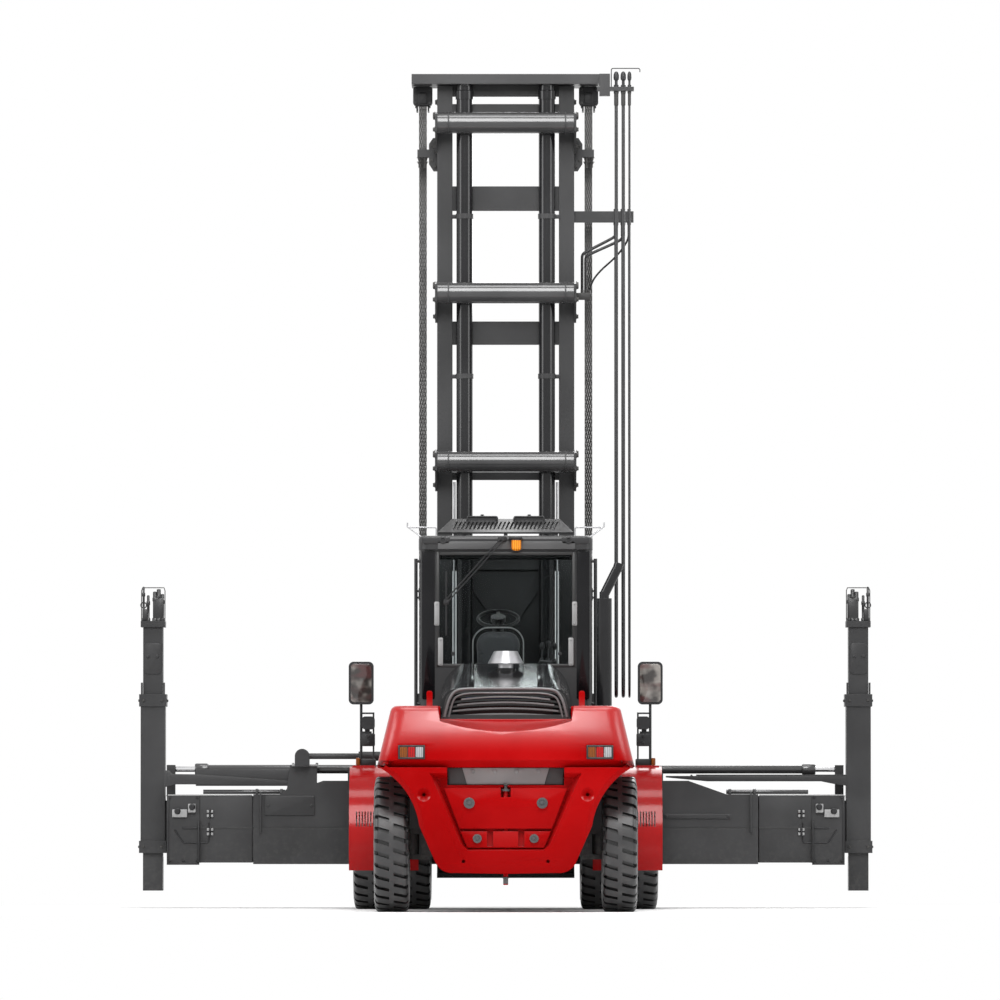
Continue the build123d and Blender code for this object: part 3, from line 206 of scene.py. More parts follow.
class Graph:
    """The node tree of one material, or of the world."""

    def __init__(self, name: str, world: bool = False) -> None:
        """Makes an empty material or world of that name with an output node."""
        self.owner = (bpy.data.worlds if world else bpy.data.materials).new(name)
        self.owner.use_nodes = True
        self.tree = self.owner.node_tree
        self.tree.nodes.clear()
        self.output = self.tree.nodes.new(f"ShaderNodeOutput{'World' if world else 'Material'}")
        self.place = self.node("TexCoord", {}, {}, "Object")

    def node(
        self,
        kind: str,
        settings: dict[str, Any],
        sockets: dict[Union[str, int], Any],
        outlet: Union[str, int] = 0,
    ) -> Wire:
        """Adds a node.

        Args:
            kind: The node's type, without the ShaderNode that all begin with.
            settings: Its properties, set before its sockets.
            sockets: Values or links by the socket's identifier, name or number.
            outlet: The output that is wanted.

        Returns:
            That output.
        """
        node = self.tree.nodes.new(f"ShaderNode{kind}")
        for key, value in settings.items():
            setattr(node, key, value)
        for key, value in sockets.items():
            socket = self.find(node.inputs, key)
            if isinstance(value, Wire):
                self.tree.links.new(value.socket, socket)
            elif isinstance(value, (tuple, list)) and socket.type == "RGBA":
                socket.default_value = (*value, 1.0)
            else:
                socket.default_value = value
        return Wire(self, self.find(node.outputs, outlet))

    @staticmethod
    def find(sockets: Any, key: Union[str, int]) -> bpy.types.NodeSocket:
        """Finds a socket.

        Args:
            sockets: A node's inputs or outputs.
            key: The socket's identifier, name or number.

        Returns:
            The socket.
        """
        if isinstance(key, int):
            return sockets[key]
        for socket in sockets:
            if socket.identifier == key:
                return socket
        return sockets[key]

    def noise(self, scale: float, detail: float = 3.0, roughness: float = 0.5, place: Union[Wire, None] = None) -> Wire:
        """Adds a noise texture in metres.

        Args:
            scale: Cells per metre.
            detail: Octaves.
            roughness: How strong the fine octaves are.
            place: Coordinates, the object's own if none are given.

        Returns:
            Its value, around 0.5.
        """
        sockets = {"Vector": place or self.place, "Scale": scale, "Detail": detail, "Roughness": roughness}
        return self.node("TexNoise", {}, sockets, "Fac")

    def bands(self, axis: Axis, scale: float) -> Wire:
        """Adds fine stripes across one axis.

        Args:
            axis: The axis.
            scale: The wave texture's scale.

        Returns:
            A value from 0 to 1.
        """
        settings = {"wave_type": "BANDS", "bands_direction": axis.name, "wave_profile": "SIN"}
        return self.node("TexWave", settings, {"Vector": self.place, "Scale": scale}, "Fac")

    def mix(self, factor: Value, first: Any, second: Any) -> Wire:
        """Mixes two colours.

        Args:
            factor: Share of the second colour.
            first: The first colour.
            second: The second colour.

        Returns:
            The mixed colour.
        """
        sockets = {"Factor_Float": factor, "A_Color": first, "B_Color": second}
        return self.node("Mix", {"data_type": "RGBA"}, sockets, "Result_Color")

    def stretched(self, scale: Point) -> Wire:
        """Object coordinates scaled along each axis, for grain that runs one way."""
        return self.node("Mapping", {}, {"Vector": self.place, "Scale": tuple(scale)})

    def split(self, vector: Wire) -> tuple[Wire, Wire, Wire]:
        """Splits a vector.

        Args:
            vector: The vector.

        Returns:
            Its X, Y and Z.
        """
        first = self.node("SeparateXYZ", {}, {"Vector": vector}, "X")
        node = first.socket.node
        return first, Wire(self, node.outputs["Y"]), Wire(self, node.outputs["Z"])

    def upward(self) -> Wire:
        """How far a face looks up, from -1 to 1."""
        return self.split(self.node("NewGeometry", {}, {}, "Normal"))[2]

    def height(self) -> Wire:
        """The height above the floor in metres."""
        return self.split(self.place)[2]

    def rounded(self, radius: float) -> Wire:
        """Normals that turn softly over edges of that radius."""
        return self.node("Bevel", {"samples": 4}, {"Radius": radius})

    def edge(self, radius: float) -> Wire:
        """A mask that is high along outer edges.

        Args:
            radius: How wide the edge is, in metres.

        Returns:
            The mask.
        """
        soft = self.rounded(radius)
        sharp = self.node("NewGeometry", {}, {}, "Normal")
        turn = self.node("VectorMath", {"operation": "DOT_PRODUCT"}, {0: soft, 1: sharp}, "Value")
        return (1.0 - turn).within(0.01, 0.25)

    def bump(self, height: Wire, strength: float, distance: float, normal: Union[Wire, None] = None) -> Wire:
        """Adds a bump.

        Args:
            height: The height map.
            strength: Its share.
            distance: Its depth in metres.
            normal: The normals that it starts from.

        Returns:
            The new normals.
        """
        sockets: dict[Union[str, int], Any] = {"Height": height, "Strength": strength, "Distance": distance}
        if normal is not None:
            sockets["Normal"] = normal
        return self.node("Bump", {}, sockets)

    def surface(self, sockets: dict[Union[str, int], Any]) -> bpy.types.Material:
        """Ends the graph in one principled shader.

        Args:
            sockets: The shader's values and links.

        Returns:
            The material.
        """
        return self.end(self.node("BsdfPrincipled", {}, sockets))

    def end(self, shader: Wire) -> bpy.types.ID:
        """Links a shader to the output.

        Args:
            shader: The shader.

        Returns:
            The finished material or world.
        """
        self.tree.links.new(shader.socket, self.output.inputs["Surface"])
        return self.owner

    def direct(self) -> Wire:
        """1 for what the camera sees straight or by way of gloss or glass, 0 for other light."""
        kinds = ("Camera", "Glossy", "Transmission")
        seen, *others = [self.node("LightPath", {}, {}, f"Is {kind} Ray") for kind in kinds]
        for other in others:
            seen = seen.maths("MAXIMUM", seen, other)
        return seen


@dataclass(frozen=True)
class Paint:
    """Sprayed paint with a faint orange peel, thin dust on what faces up, and a paler edge colour that is partly wear
    and partly painted highlight.
    """

    name: str
    colour: Colour
    roughness: float = 0.35
    coat: float = 0.0
    dust: float = 0.10
    peel: float = 0.06
    edge_wear_and_highlight: Colour = (0.20, 0.20, 0.20)
    edge: float = 0.004
    specular: float = 0.42

    def build(self) -> bpy.types.Material:
        """Makes the material."""
        graph = Graph(self.name)
        broad = graph.noise(1.7, 4.0)
        fine = graph.noise(28.0, 5.0, 0.6)
        shade = tinted(self.colour, 0.80)
        tint = tinted(self.colour, 1.10, 0.004)
        base = graph.mix(broad.within(0.30, 0.72), shade, tint)
        grime = graph.upward().within(0.35, 0.95) * fine.within(0.35, 0.75) * self.dust
        low = (1.0 - graph.height().within(0.10, 0.90)) * fine.within(0.45, 0.70) * (0.8 * self.dust)
        base = graph.mix(grime + low, base, (0.33, 0.31, 0.28))
        # Paler edge colour: partly wear, and on the reds a painted highlight along the edges.
        wear_and_highlight_edges = graph.edge(self.edge) * fine.within(0.40, 0.75)
        base = graph.mix(wear_and_highlight_edges * 0.45, base, self.edge_wear_and_highlight)
        peel = graph.noise(260.0, 2.0)
        normal = graph.bump(peel, self.peel, 0.0012, graph.rounded(self.edge))
        return graph.surface(
            {
                "Base Color": base,
                "Roughness": fine * 0.14 + (self.roughness - 0.07) + grime * 0.5,
                "Specular IOR Level": self.specular,
                "Coat Weight": self.coat,
                "Coat Roughness": 0.12,
                "Normal": normal,
            }
        )


@dataclass(frozen=True)
class CastPaint(Paint):
    """Thick paint over a sand casting, with the skin of the mould showing through, and painted shade that darkens it
    towards the bottom.
    """

    def build(self) -> bpy.types.Material:
        """Makes the material."""
        graph = Graph(self.name)
        broad = graph.noise(1.3, 4.0)
        fine = graph.noise(22.0, 5.0, 0.6)
        shade = tinted(self.colour, 0.84)
        tint = tinted(self.colour, 1.08, 0.003)
        base = graph.mix(broad.within(0.30, 0.72), shade, tint)
        # Painted shade: the cast red is darkened towards the bottom, as if less light reaches its lower part.
        deep = tinted(self.colour, 0.45)
        base = graph.mix((1.0 - graph.height().within(0.25, 1.10)) * 0.50, base, deep)
        grime = graph.upward().within(0.45, 0.95) * fine.within(0.35, 0.75) * self.dust
        base = graph.mix(grime, base, (0.30, 0.27, 0.25))
        # Paler edge colour: partly wear, and on the reds a painted highlight along the edges.
        wear_and_highlight_edges = graph.edge(self.edge) * fine.within(0.45, 0.75)
        base = graph.mix(wear_and_highlight_edges * 0.35, base, self.edge_wear_and_highlight)
        skin = graph.noise(9.0, 6.0, 0.55) * 0.7 + graph.noise(150.0, 3.0) * 0.3
        normal = graph.bump(skin, 0.22, 0.006, graph.rounded(self.edge * 2.0))
        return graph.surface(
            {
                "Base Color": base,
                "Roughness": fine * 0.16 + (self.roughness - 0.08) + grime * 0.5,
                "Specular IOR Level": self.specular,
                "Coat Weight": graph.upward().within(0.02, 0.30) * self.coat,
                "Coat Roughness": 0.28,
                "Normal": normal,
            }
        )


@dataclass(frozen=True)
class Metal:
    """Bare metal with fine lines along one axis and a little tarnish."""

    name: str
    colour: Colour
    roughness: float
    grain: Axis = Axis.Z
    tarnish: float = 0.25
    metallic: float = 1.0

    def build(self) -> bpy.types.Material:
        """Makes the material."""
        graph = Graph(self.name)
        scale = [180.0, 180.0, 180.0]
        scale[self.grain.value] = 4.0
        lines = graph.noise(1.0, 3.0, 0.6, graph.stretched(scale))
        cloud = graph.noise(11.0, 4.0, 0.6)
        dull = tinted(self.colour, 0.42)
        base = graph.mix(cloud.within(0.45, 0.80) * self.tarnish, self.colour, dull)
        return graph.surface(
            {
                "Base Color": base,
                "Metallic": self.metallic,
                "Roughness": lines * 0.12 + cloud * 0.10 + (self.roughness - 0.11),
                "Normal": graph.bump(lines, 0.10, 0.0006, graph.rounded(0.0025)),
            }
        )


@dataclass(frozen=True)
class Rubber:
    """Dark rubber with a dusty bloom and a moulded grain."""

    name: str
    colour: Colour = (0.022, 0.022, 0.023)
    bloom: Colour = (0.085, 0.083, 0.080)
    share: float = 0.55
    grain: float = 140.0

    def build(self) -> bpy.types.Material:
        """Makes the material."""
        graph = Graph(self.name)
        cloud = graph.noise(7.0, 5.0, 0.6)
        fine = graph.noise(self.grain, 3.0)
        base = graph.mix(cloud.within(0.38, 0.78) * self.share, self.colour, self.bloom)
        return graph.surface(
            {
                "Base Color": base,
                "Roughness": cloud * 0.20 + 0.28,
                "Specular IOR Level": 0.60,
                "Normal": graph.bump(fine, 0.20, 0.0015, graph.rounded(0.003)),
            }
        )


@dataclass(frozen=True)
class Plastic:
    """Moulded plastic with a fine pebbled grain."""

    name: str
    colour: Colour
    roughness: float = 0.45
    grain: float = 420.0

    def build(self) -> bpy.types.Material:
        """Makes the material."""
        graph = Graph(self.name)
        pebble = graph.node("TexVoronoi", {}, {"Vector": graph.place, "Scale": self.grain}, "Distance")
        cloud = graph.noise(6.0, 4.0)
        pale = tinted(self.colour, 1.25, 0.010)
        base = graph.mix(cloud.within(0.35, 0.75) * 0.6, self.colour, pale)
        return graph.surface(
            {
                "Base Color": base,
                "Roughness": cloud * 0.16 + (self.roughness - 0.08),
                "Specular IOR Level": 0.40,
                "Normal": graph.bump(pebble, 0.12, 0.0008, graph.rounded(0.003)),
            }
        )


@dataclass(frozen=True)
class Cloth:
    """Woven upholstery with two thread directions and a soft sheen."""

    name: str
    colour: Colour
    threads: float = 420.0

    def build(self) -> bpy.types.Material:
        """Makes the material."""
        graph = Graph(self.name)
        warp, weft = [graph.bands(axis, self.threads / 6) for axis in (Axis.X, Axis.Z)]
        weave = warp * 0.5 + weft * 0.5
        cloud = graph.noise(14.0, 4.0)
        pale = tinted(self.colour, 1.7, 0.02)
        base = graph.mix(weave * 0.55 + cloud * 0.25, self.colour, pale)
        return graph.surface(
            {
                "Base Color": base,
                "Roughness": cloud * 0.10 + 0.80,
                "Sheen Weight": 0.25,
                "Normal": graph.bump(weave, 0.35, 0.0012),
            }
        )


@dataclass(frozen=True)
class Glass:
    """Tinted window glass with a thin film of dust."""

    name: str
    colour: Colour

    def build(self) -> bpy.types.Material:
        """Makes the material."""
        graph = Graph(self.name)
        film = graph.noise(5.0, 5.0, 0.6)
        streak = graph.noise(1.0, 3.0, 0.5, graph.stretched((60.0, 60.0, 3.0)))
        smear = film.within(0.45, 0.80) * 0.6 + streak.within(0.55, 0.80) * 0.4
        pale = tinted(self.colour, 1.0, 0.05)
        clear = graph.node("BsdfTransparent", {}, {"Color": graph.mix(smear * 0.5, self.colour, pale)})
        gloss = graph.node("BsdfGlossy", {}, {"Color": (0.6, 0.6, 0.6), "Roughness": 0.02})
        facing = graph.node("LayerWeight", {}, {"Blend": 0.12}, "Fresnel")
        return graph.end(graph.node("MixShader", {}, {0: facing * 0.45, 1: clear, 2: gloss}))


@dataclass(frozen=True)
class MirrorGlass:
    """Mirror glass whose colour is a painted reflection of blurred, darker surroundings with a reddish band, under a
    real gloss.
    """

    name: str
    dark: Colour
    pale: Colour
    # tint: the reddish colour in the painted reflection.
    tint: Colour

    def build(self) -> bpy.types.Material:
        """Makes the material."""
        graph = Graph(self.name)
        # Painted reflection: the dark, pale and reddish colours stand in for what the mirror reflects.
        cloud = graph.noise(7.0, 2.0, 0.5)
        band = graph.noise(5.0, 1.0, 0.4, graph.stretched((1.0, 1.0, 2.6)))
        base = graph.mix(cloud.within(0.40, 0.62), self.dark, self.pale)
        base = graph.mix(band.within(0.50, 0.70) * 0.7, base, self.tint)
        return graph.surface(
            {"Base Color": base, "Roughness": cloud * 0.05 + 0.05, "Specular IOR Level": 0.5, "Coat Weight": 0.3}
        )


@dataclass(frozen=True)
class Lens:
    """A moulded lamp lens with fine ribs."""

    name: str
    colour: Colour
    glow: float = 0.15
    ribs: float = 110.0

    def build(self) -> bpy.types.Material:
        """Makes the material."""
        graph = Graph(self.name)
        rib = graph.bands(Axis.X, self.ribs / 6)
        deep = tinted(self.colour, 0.55)
        base = graph.mix(rib, deep, self.colour)
        return graph.surface(
            {
                "Base Color": base,
                "Roughness": rib * 0.08 + 0.12,
                "Coat Weight": 0.15,
                "Specular IOR Level": 0.25,
                "Emission Color": base,
                "Emission Strength": self.glow,
                "Normal": graph.bump(rib, 0.25, 0.002),
            }
        )


RED = (0.36, 0.0016, 0.0022)
GREY = (0.038, 0.038, 0.039)


class Finish(Enum):
    """The finishes on the machine, named as the record's material slots are."""

    # The reds' edge colour (0.38, 0.03, 0.03) is a paler red, so it is a painted highlight along their edges.
    BODY_RED = Paint("body_red", RED, 0.22, 0.28, 0.01, 0.05, (0.38, 0.03, 0.03), 0.004, 0.07)
    CAST_RED = CastPaint("cast_red", RED, 0.24, 1.00, 0.01, 0.10, (0.38, 0.03, 0.03), 0.004, 0.02)
    DARK_GREY = Paint("dark_grey", GREY, 0.40, 0.0, 0.06, 0.09, (0.20, 0.20, 0.20), 0.004, 0.22)
    CAB_GREY = Paint("cab_grey", (0.030, 0.030, 0.031), 0.34, 0.10, 0.04, 0.06, (0.15, 0.15, 0.15), 0.004, 0.25)
    GLOSS_BLACK = Paint("gloss_black", (0.010, 0.010, 0.011), 0.16, 0.12, 0.01, 0.03, (0.08, 0.08, 0.08), 0.004, 0.26)
    RIM_PAINT = Paint("rim_paint", (0.30, 0.30, 0.30), 0.40, 0.0, 0.20, 0.05, (0.16, 0.15, 0.14))
    TYRE = Rubber("tyre", (0.022, 0.022, 0.023), (0.080, 0.079, 0.077))
    GLASS = Glass("glass", (0.84, 0.86, 0.86))
    IRON = Paint("iron", (0.030, 0.029, 0.028), 0.55, 0.0, 0.25, 0.20, (0.18, 0.16, 0.15))
    CHROME = Metal("chrome", (0.72, 0.72, 0.73), 0.16, Axis.Z, 0.15)
    STEEL = Metal("steel", (0.40, 0.40, 0.41), 0.36, Axis.Z, 0.45)
    PLASTIC = Plastic("plastic", (0.010, 0.010, 0.011))
    HOSE_RUBBER = Rubber("hose_rubber", (0.008, 0.008, 0.009), (0.020, 0.020, 0.020), 0.45, 220.0)
    SEAT_CLOTH = Cloth("seat_cloth", (0.030, 0.031, 0.034))
    LAMP_RED = Lens("lamp_red", (0.40, 0.004, 0.005), 0.02)
    LAMP_AMBER = Lens("lamp_amber", (0.23, 0.060, 0.004), 0.02)
    BEACON = Lens("beacon_amber", (0.85, 0.27, 0.015), 0.20)
    LAMP_CLEAR = Lens("lamp_clear", (0.40, 0.40, 0.41), 0.03)
    CHAIN = Metal("chain_steel", (0.075, 0.074, 0.073), 0.42, Axis.Z, 0.40, 0.85)
    BRIGHT = Paint("bright_grey", (0.30, 0.30, 0.30), 0.35, 0.0, 0.10, 0.05, (0.18, 0.18, 0.18))
    COOLANT_LINE = Plastic("coolant_line", (0.010, 0.012, 0.180), 0.35)
    MIRROR = MirrorGlass("mirror_glass", (0.035, 0.030, 0.028), (0.26, 0.24, 0.22), (0.085, 0.030, 0.030))
    MID_GREY = Paint("mid_grey", (0.085, 0.085, 0.086), 0.40, 0.0, 0.04, 0.06, (0.20, 0.20, 0.20), 0.004, 0.25)
    PILLAR = Paint("pillar_gloss", (0.004, 0.004, 0.005), 0.10, 0.08, 0.01, 0.01, (0.02, 0.02, 0.02), 0.004, 0.20)
    TUBE = Paint("tube_grey", (0.040, 0.040, 0.041), 0.20, 0.40, 0.02, 0.05, (0.16, 0.16, 0.16))
    GRILLE_GREY = Paint("grille_grey", (0.150, 0.150, 0.152), 0.30, 0.10, 0.03, 0.04, (0.24, 0.24, 0.24), 0.004, 0.40)
    # Painted shade: a darkened copy of the body red, on the radiator and the fan shroud, for the shaded hollow behind
    # the grille.
    SHADE_RED = Paint("shroud_red", (0.040, 0.0015, 0.002), 0.50, 0.0, 0.05, 0.05, (0.05, 0.02, 0.02))
    PIPING = Plastic("seat_piping", (0.30, 0.30, 0.30), 0.55)
    # A near-black: the real colour of the window seals, the grille and the arm seams, and painted shade in the tyres'
    # slots, under the roof guard and in the beam's groove.
    MATT_BLACK_AND_SHADE = Rubber("groove", (0.008, 0.008, 0.008), (0.020, 0.020, 0.020), 0.4)


@cache
def material(finish: Finish) -> bpy.types.Material:
    """Makes the material of a finish, once.

    Args:
        finish: The finish.

    Returns:
        Its material.
    """
    return finish.value.build()


class Shape:
    """A mesh in the making: operators add forms, and done() turns it into a piece that rides on a body."""

    def __init__(self) -> None:
        """Starts with an empty mesh."""
        self.mesh = bmesh.new()

    def edges_of(self, verts: Iterable[BMVert]) -> list[BMEdge]:
        """The edges whose ends are both among the vertices."""
        chosen = set(verts)
        return [edge for edge in self.mesh.edges if edge.verts[0] in chosen and edge.verts[1] in chosen]

    def soften(self, edges: list[BMEdge], width: float, segments: int = 2) -> None:
        """Bevels edges.

        Args:
            edges: The edges.
            width: How wide the bevel is.
            segments: How many faces make the round.
        """
        bmesh.ops.bevel(
            self.mesh, geom=edges, offset=width, offset_type="OFFSET", affect="EDGES", segments=segments,
            profile=0.5, material=-1, clamp_overlap=True,
        )

    def fresh(self, known: set[BMVert]) -> list[BMVert]:
        """The vertices that aren't among the known ones."""
        return [vert for vert in self.mesh.verts if vert not in known]

    def face_out(self, known: set[BMVert]) -> None:
        """Turns the faces between fresh vertices outward.

        Args:
            known: The vertices that were there before.
        """
        fresh = set(self.fresh(known))
        faces = [face for face in self.mesh.faces if set(face.verts) <= fresh]
        bmesh.ops.recalc_face_normals(self.mesh, faces=faces)

    def cube(self, corner: Point, opposite: Point) -> list[BMVert]:
        """Adds a plain box.

        Args:
            corner: One of its corners.
            opposite: The opposite corner.

        Returns:
            Its vertices.
        """
        start, end = Vector(corner), Vector(opposite)
        verts = bmesh.ops.create_cube(self.mesh, size=1.0)["verts"]
        bmesh.ops.scale(self.mesh, vec=[abs(part) for part in end - start], verts=verts)
        bmesh.ops.translate(self.mesh, vec=(start + end) / 2.0, verts=verts)
        return verts

    def box(self, corner: Point, opposite: Point, round_edge: float = 0.0) -> "Shape":
        """Adds a box with rounded edges.

        Args:
            corner: One of its corners.
            opposite: The opposite corner.
            round_edge: The bevel on its edges.

        Returns:
            The shape.
        """
        verts = self.cube(corner, opposite)
        if round_edge:
            self.soften(self.edges_of(verts), round_edge)
        return self

    def rod(
        self, start: Point, end: Point, radius: float, far_radius: Union[float, None] = None, sides: int = 24,
        round_edge: float = 0.0,
    ) -> "Shape":
        """Adds a round bar or cone between two points.

        Args:
            start: The middle of its first end.
            end: The middle of its other end.
            radius: Its radius at the first end.
            far_radius: Its radius at the other end, the same if none is given.
            sides: How many sides it has.
            round_edge: The bevel on its two rims.

        Returns:
            The shape.
        """
        first, last = Vector(start), Vector(end)
        line = last - first
        turn = line.to_track_quat("Z", "Y").to_matrix().to_4x4()
        known = set(self.mesh.verts)
        verts = bmesh.ops.create_cone(
            self.mesh, cap_ends=True, segments=sides, radius1=radius,
            radius2=radius if far_radius is None else far_radius, depth=line.length,
        )["verts"]
        if round_edge:
            rims = [edge for edge in self.edges_of(verts) if abs(edge.verts[0].co.z - edge.verts[1].co.z) < 1e-6]
            self.soften(rims, round_edge)
        place = Matrix.Translation((first + last) / 2)
        bmesh.ops.transform(self.mesh, matrix=place @ turn, verts=self.fresh(known))
        return self

    def turned(
        self, profile: Sequence[tuple[float, float]], center: Point, axis: Point, steps: int = 48,
    ) -> "Shape":
        """Spins a closed profile round an axis.

        Args:
            profile: (distance along the axis, radius) pairs in order; the last joins the first.
            center: The point that distances start from.
            axis: The axis.
            steps: How many steps the full turn has.

        Returns:
            The shape.
        """
        line = Vector(axis).normalized()
        side = line.orthogonal().normalized()
        middle = Vector(center)
        known = set(self.mesh.verts)
        ring = [self.mesh.verts.new(middle + line * along + side * radius) for along, radius in profile]
        edges = [self.mesh.edges.new((ring[index], ring[(index + 1) % len(ring)])) for index in range(len(ring))]
        bmesh.ops.spin(
            self.mesh, geom=ring + edges, cent=middle, axis=line, angle=math.tau, steps=steps, use_merge=True,
            use_duplicate=False,
        )
        bmesh.ops.remove_doubles(self.mesh, verts=self.fresh(known), dist=MERGE)
        self.face_out(known)
        return self

    def prism(self, outline: Sequence[Point], depth: Point, round_edge: float = 0.0) -> "Shape":
        """Extrudes a flat outline.

        Args:
            outline: Its corners in order.
            depth: The vector that it is extruded by.
            round_edge: The bevel on its edges.

        Returns:
            The shape.
        """
        known = set(self.mesh.verts)
        face = self.mesh.faces.new([self.mesh.verts.new(corner) for corner in outline])
        grown = bmesh.ops.extrude_face_region(self.mesh, geom=[face], use_keep_orig=True)["geom"]
        moved = [part for part in grown if isinstance(part, BMVert)]
        bmesh.ops.translate(self.mesh, vec=Vector(depth), verts=moved)
        self.face_out(known)
        if round_edge:
            self.soften(self.edges_of(self.fresh(known)), round_edge)
        return self

    def pipe(self, route: Sequence[Point], radius: float, sides: int = 12, smooth: bool = True) -> "Shape":
        """Adds a bent rod or rigid pipe along a route.

        Args:
            route: The points that it follows.
            radius: Its radius.
            sides: How many sides its section has.
            smooth: Whether its bends are round.

        Returns:
            The shape.
        """
        return self.sweep(spline_points(route, smooth), radius, sides)

    def sweep(self, points: Sequence[Vector], radius: float, sides: int) -> "Shape":
        """Skins rings that stand across a line of points.

        Args:
            points: The line.
            radius: The rings' radius.
            sides: How many sides a ring has.

        Returns:
            The shape.
        """
        known = set(self.mesh.verts)
        guide = (points[1] - points[0]).normalized()
        side = guide.orthogonal().normalized()
        before: list[BMEdge] = []
        for index, point in enumerate(points):
            ahead = points[min(index + 1, len(points) - 1)] - points[max(index - 1, 0)]
            side = (side - ahead * side.dot(ahead) / ahead.length_squared).normalized()
            across = ahead.normalized().cross(side)
            is_end = index in (0, len(points) - 1)
            ring = bmesh.ops.create_circle(self.mesh, cap_ends=is_end, segments=sides, radius=radius)
            frame = Matrix((side, across, ahead.normalized())).transposed().to_4x4()
            bmesh.ops.transform(self.mesh, matrix=Matrix.Translation(point) @ frame, verts=ring["verts"])
            edges = self.edges_ring(ring["verts"])
            if before:
                bmesh.ops.bridge_loops(self.mesh, edges=before + edges)
            before = edges
        self.face_out(known)
        return self

    @staticmethod
    def edges_ring(verts: Sequence[BMVert]) -> list[BMEdge]:
        """The edges between neighbouring vertices of one fresh ring."""
        chosen = set(verts)
        found = {edge for vert in verts for edge in vert.link_edges if edge.other_vert(vert) in chosen}
        return list(found)

    def bolt(self, seat: Point, out: Point, across: float, tall: float) -> "Shape":
        """Adds a hexagon bolt head with its washer.

        Args:
            seat: The middle of the face that it sits on.
            out: The way that it points.
            across: Its size over the corners.
            tall: Its height.

        Returns:
            The shape.
        """
        way = Vector(out).normalized()
        base = Vector(seat)
        self.rod(base, base + way * tall * 0.25, across * 0.68, sides=16)
        self.rod(base + way * tall * 0.25, base + way * tall, across * 0.5, across * 0.47, 6)
        return self

    @staticmethod
    def along(edge: BMEdge, axis: Axis) -> float:
        """How far an edge runs along an axis, from 0 to 1."""
        return abs((edge.verts[1].co - edge.verts[0].co).normalized()[axis.value])

    def slab(self, corner: Point, opposite: Point, axis: Axis, radius: float, round_edge: float = 0.0) -> "Shape":
        """Adds a plate whose four corners along one axis are round.

        Args:
            corner: A corner of its box.
            opposite: The opposite corner.
            axis: The axis that the round corners run along.
            radius: Their radius.
            round_edge: The bevel on the other edges.

        Returns:
            The shape.
        """
        known = set(self.mesh.verts)
        edges = self.edges_of(self.cube(corner, opposite))
        self.soften([edge for edge in edges if self.along(edge, axis) > 0.9], radius, 6)
        if round_edge:
            edges = self.edges_of(self.fresh(known))
            self.soften([edge for edge in edges if self.along(edge, axis) < 0.1], round_edge)
        return self

    def stamp(self, pattern: "Shape", places: Iterable[Matrix]) -> "Shape":
        """Repeats another shape at many places.

        Args:
            pattern: The shape, which stays as it is.
            places: A matrix for each copy.

        Returns:
            The shape.
        """
        data = bpy.data.meshes.new("pattern")
        pattern.mesh.to_mesh(data)
        for place in places:
            copy = data.copy()
            copy.transform(place)
            self.mesh.from_mesh(copy)
            bpy.data.meshes.remove(copy)
        bpy.data.meshes.remove(data)
        return self

    def frame(self, corner: Point, opposite: Point, axis: Axis, wide: float, round_edge: float = 0.0) -> "Shape":
        """Adds a rectangular frame, such as a window's seal.

        Args:
            corner: A corner of its outer box.
            opposite: The opposite corner.
            axis: The axis that one looks through it along.
            wide: How wide its four sides are.
            round_edge: The bevel on their edges.

        Returns:
            The shape.
        """
        ranges = [sorted(pair) for pair in zip(corner, opposite)]
        first, second = [index for index in range(3) if index != axis.value]
        for index, other in ((first, second), (second, first)):
            for edge in (0, 1):
                near, far = [list(ends) for ends in zip(*ranges)]
                if edge:
                    near[index] = far[index] - wide
                else:
                    far[index] = near[index] + wide
                if index == second:
                    near[other] += wide
                    far[other] -= wide
                self.box(near, far, round_edge)
        return self

    def done(
        self, name: str, body: str, finish: Finish, smooth_angle: float = CRISP, ride: bool = True,
    ) -> bpy.types.Object:
        """Makes the piece.

        Args:
            name: Its name.
            body: The body that it rides on.
            finish: Its finish.
            smooth_angle: Edges that turn less than this many degrees are shaded smooth.
            ride: Whether it rides on the body now.

        Returns:
            The piece.
        """
        data = bpy.data.meshes.new(name)
        self.mesh.to_mesh(data)
        self.mesh.free()
        data.polygons.foreach_set("use_smooth", [True] * len(data.polygons))
        data.set_sharp_from_angle(angle=math.radians(smooth_angle))
        piece = linked(name, data)
        data.materials.append(material(finish))
        if ride:
            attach(piece, body)
        LOG.info("%s on %s: %d faces", name, body, len(data.polygons))
        return piece


def spline_points(route: Sequence[Point], smooth: bool = True) -> list[Vector]:
    """Reads the points of a spline through or near a route.

    Args:
        route: The route's points.
        smooth: Whether the spline rounds the route's corners.

    Returns:
        The points that Blender gives for it.
    """
    data = bpy.data.curves.new("route", "CURVE")
    data.dimensions = "3D"
    data.resolution_u = 8
    spline = data.splines.new("NURBS")
    spline.points.add(len(route) - 1)
    for point, place in zip(spline.points, route):
        point.co = (*place, 1.0)
    spline.order_u = 3 if smooth and len(route) > 2 else 2
    spline.use_endpoint_u = True
    holder = linked("route", data)
    depsgraph = bpy.context.evaluated_depsgraph_get()
    mesh = bpy.data.meshes.new_from_object(holder.evaluated_get(depsgraph))
    points = [vert.co.copy() for vert in mesh.vertices]
    bpy.data.objects.remove(holder)
    bpy.data.meshes.remove(mesh)
    bpy.data.curves.remove(data)
    return points


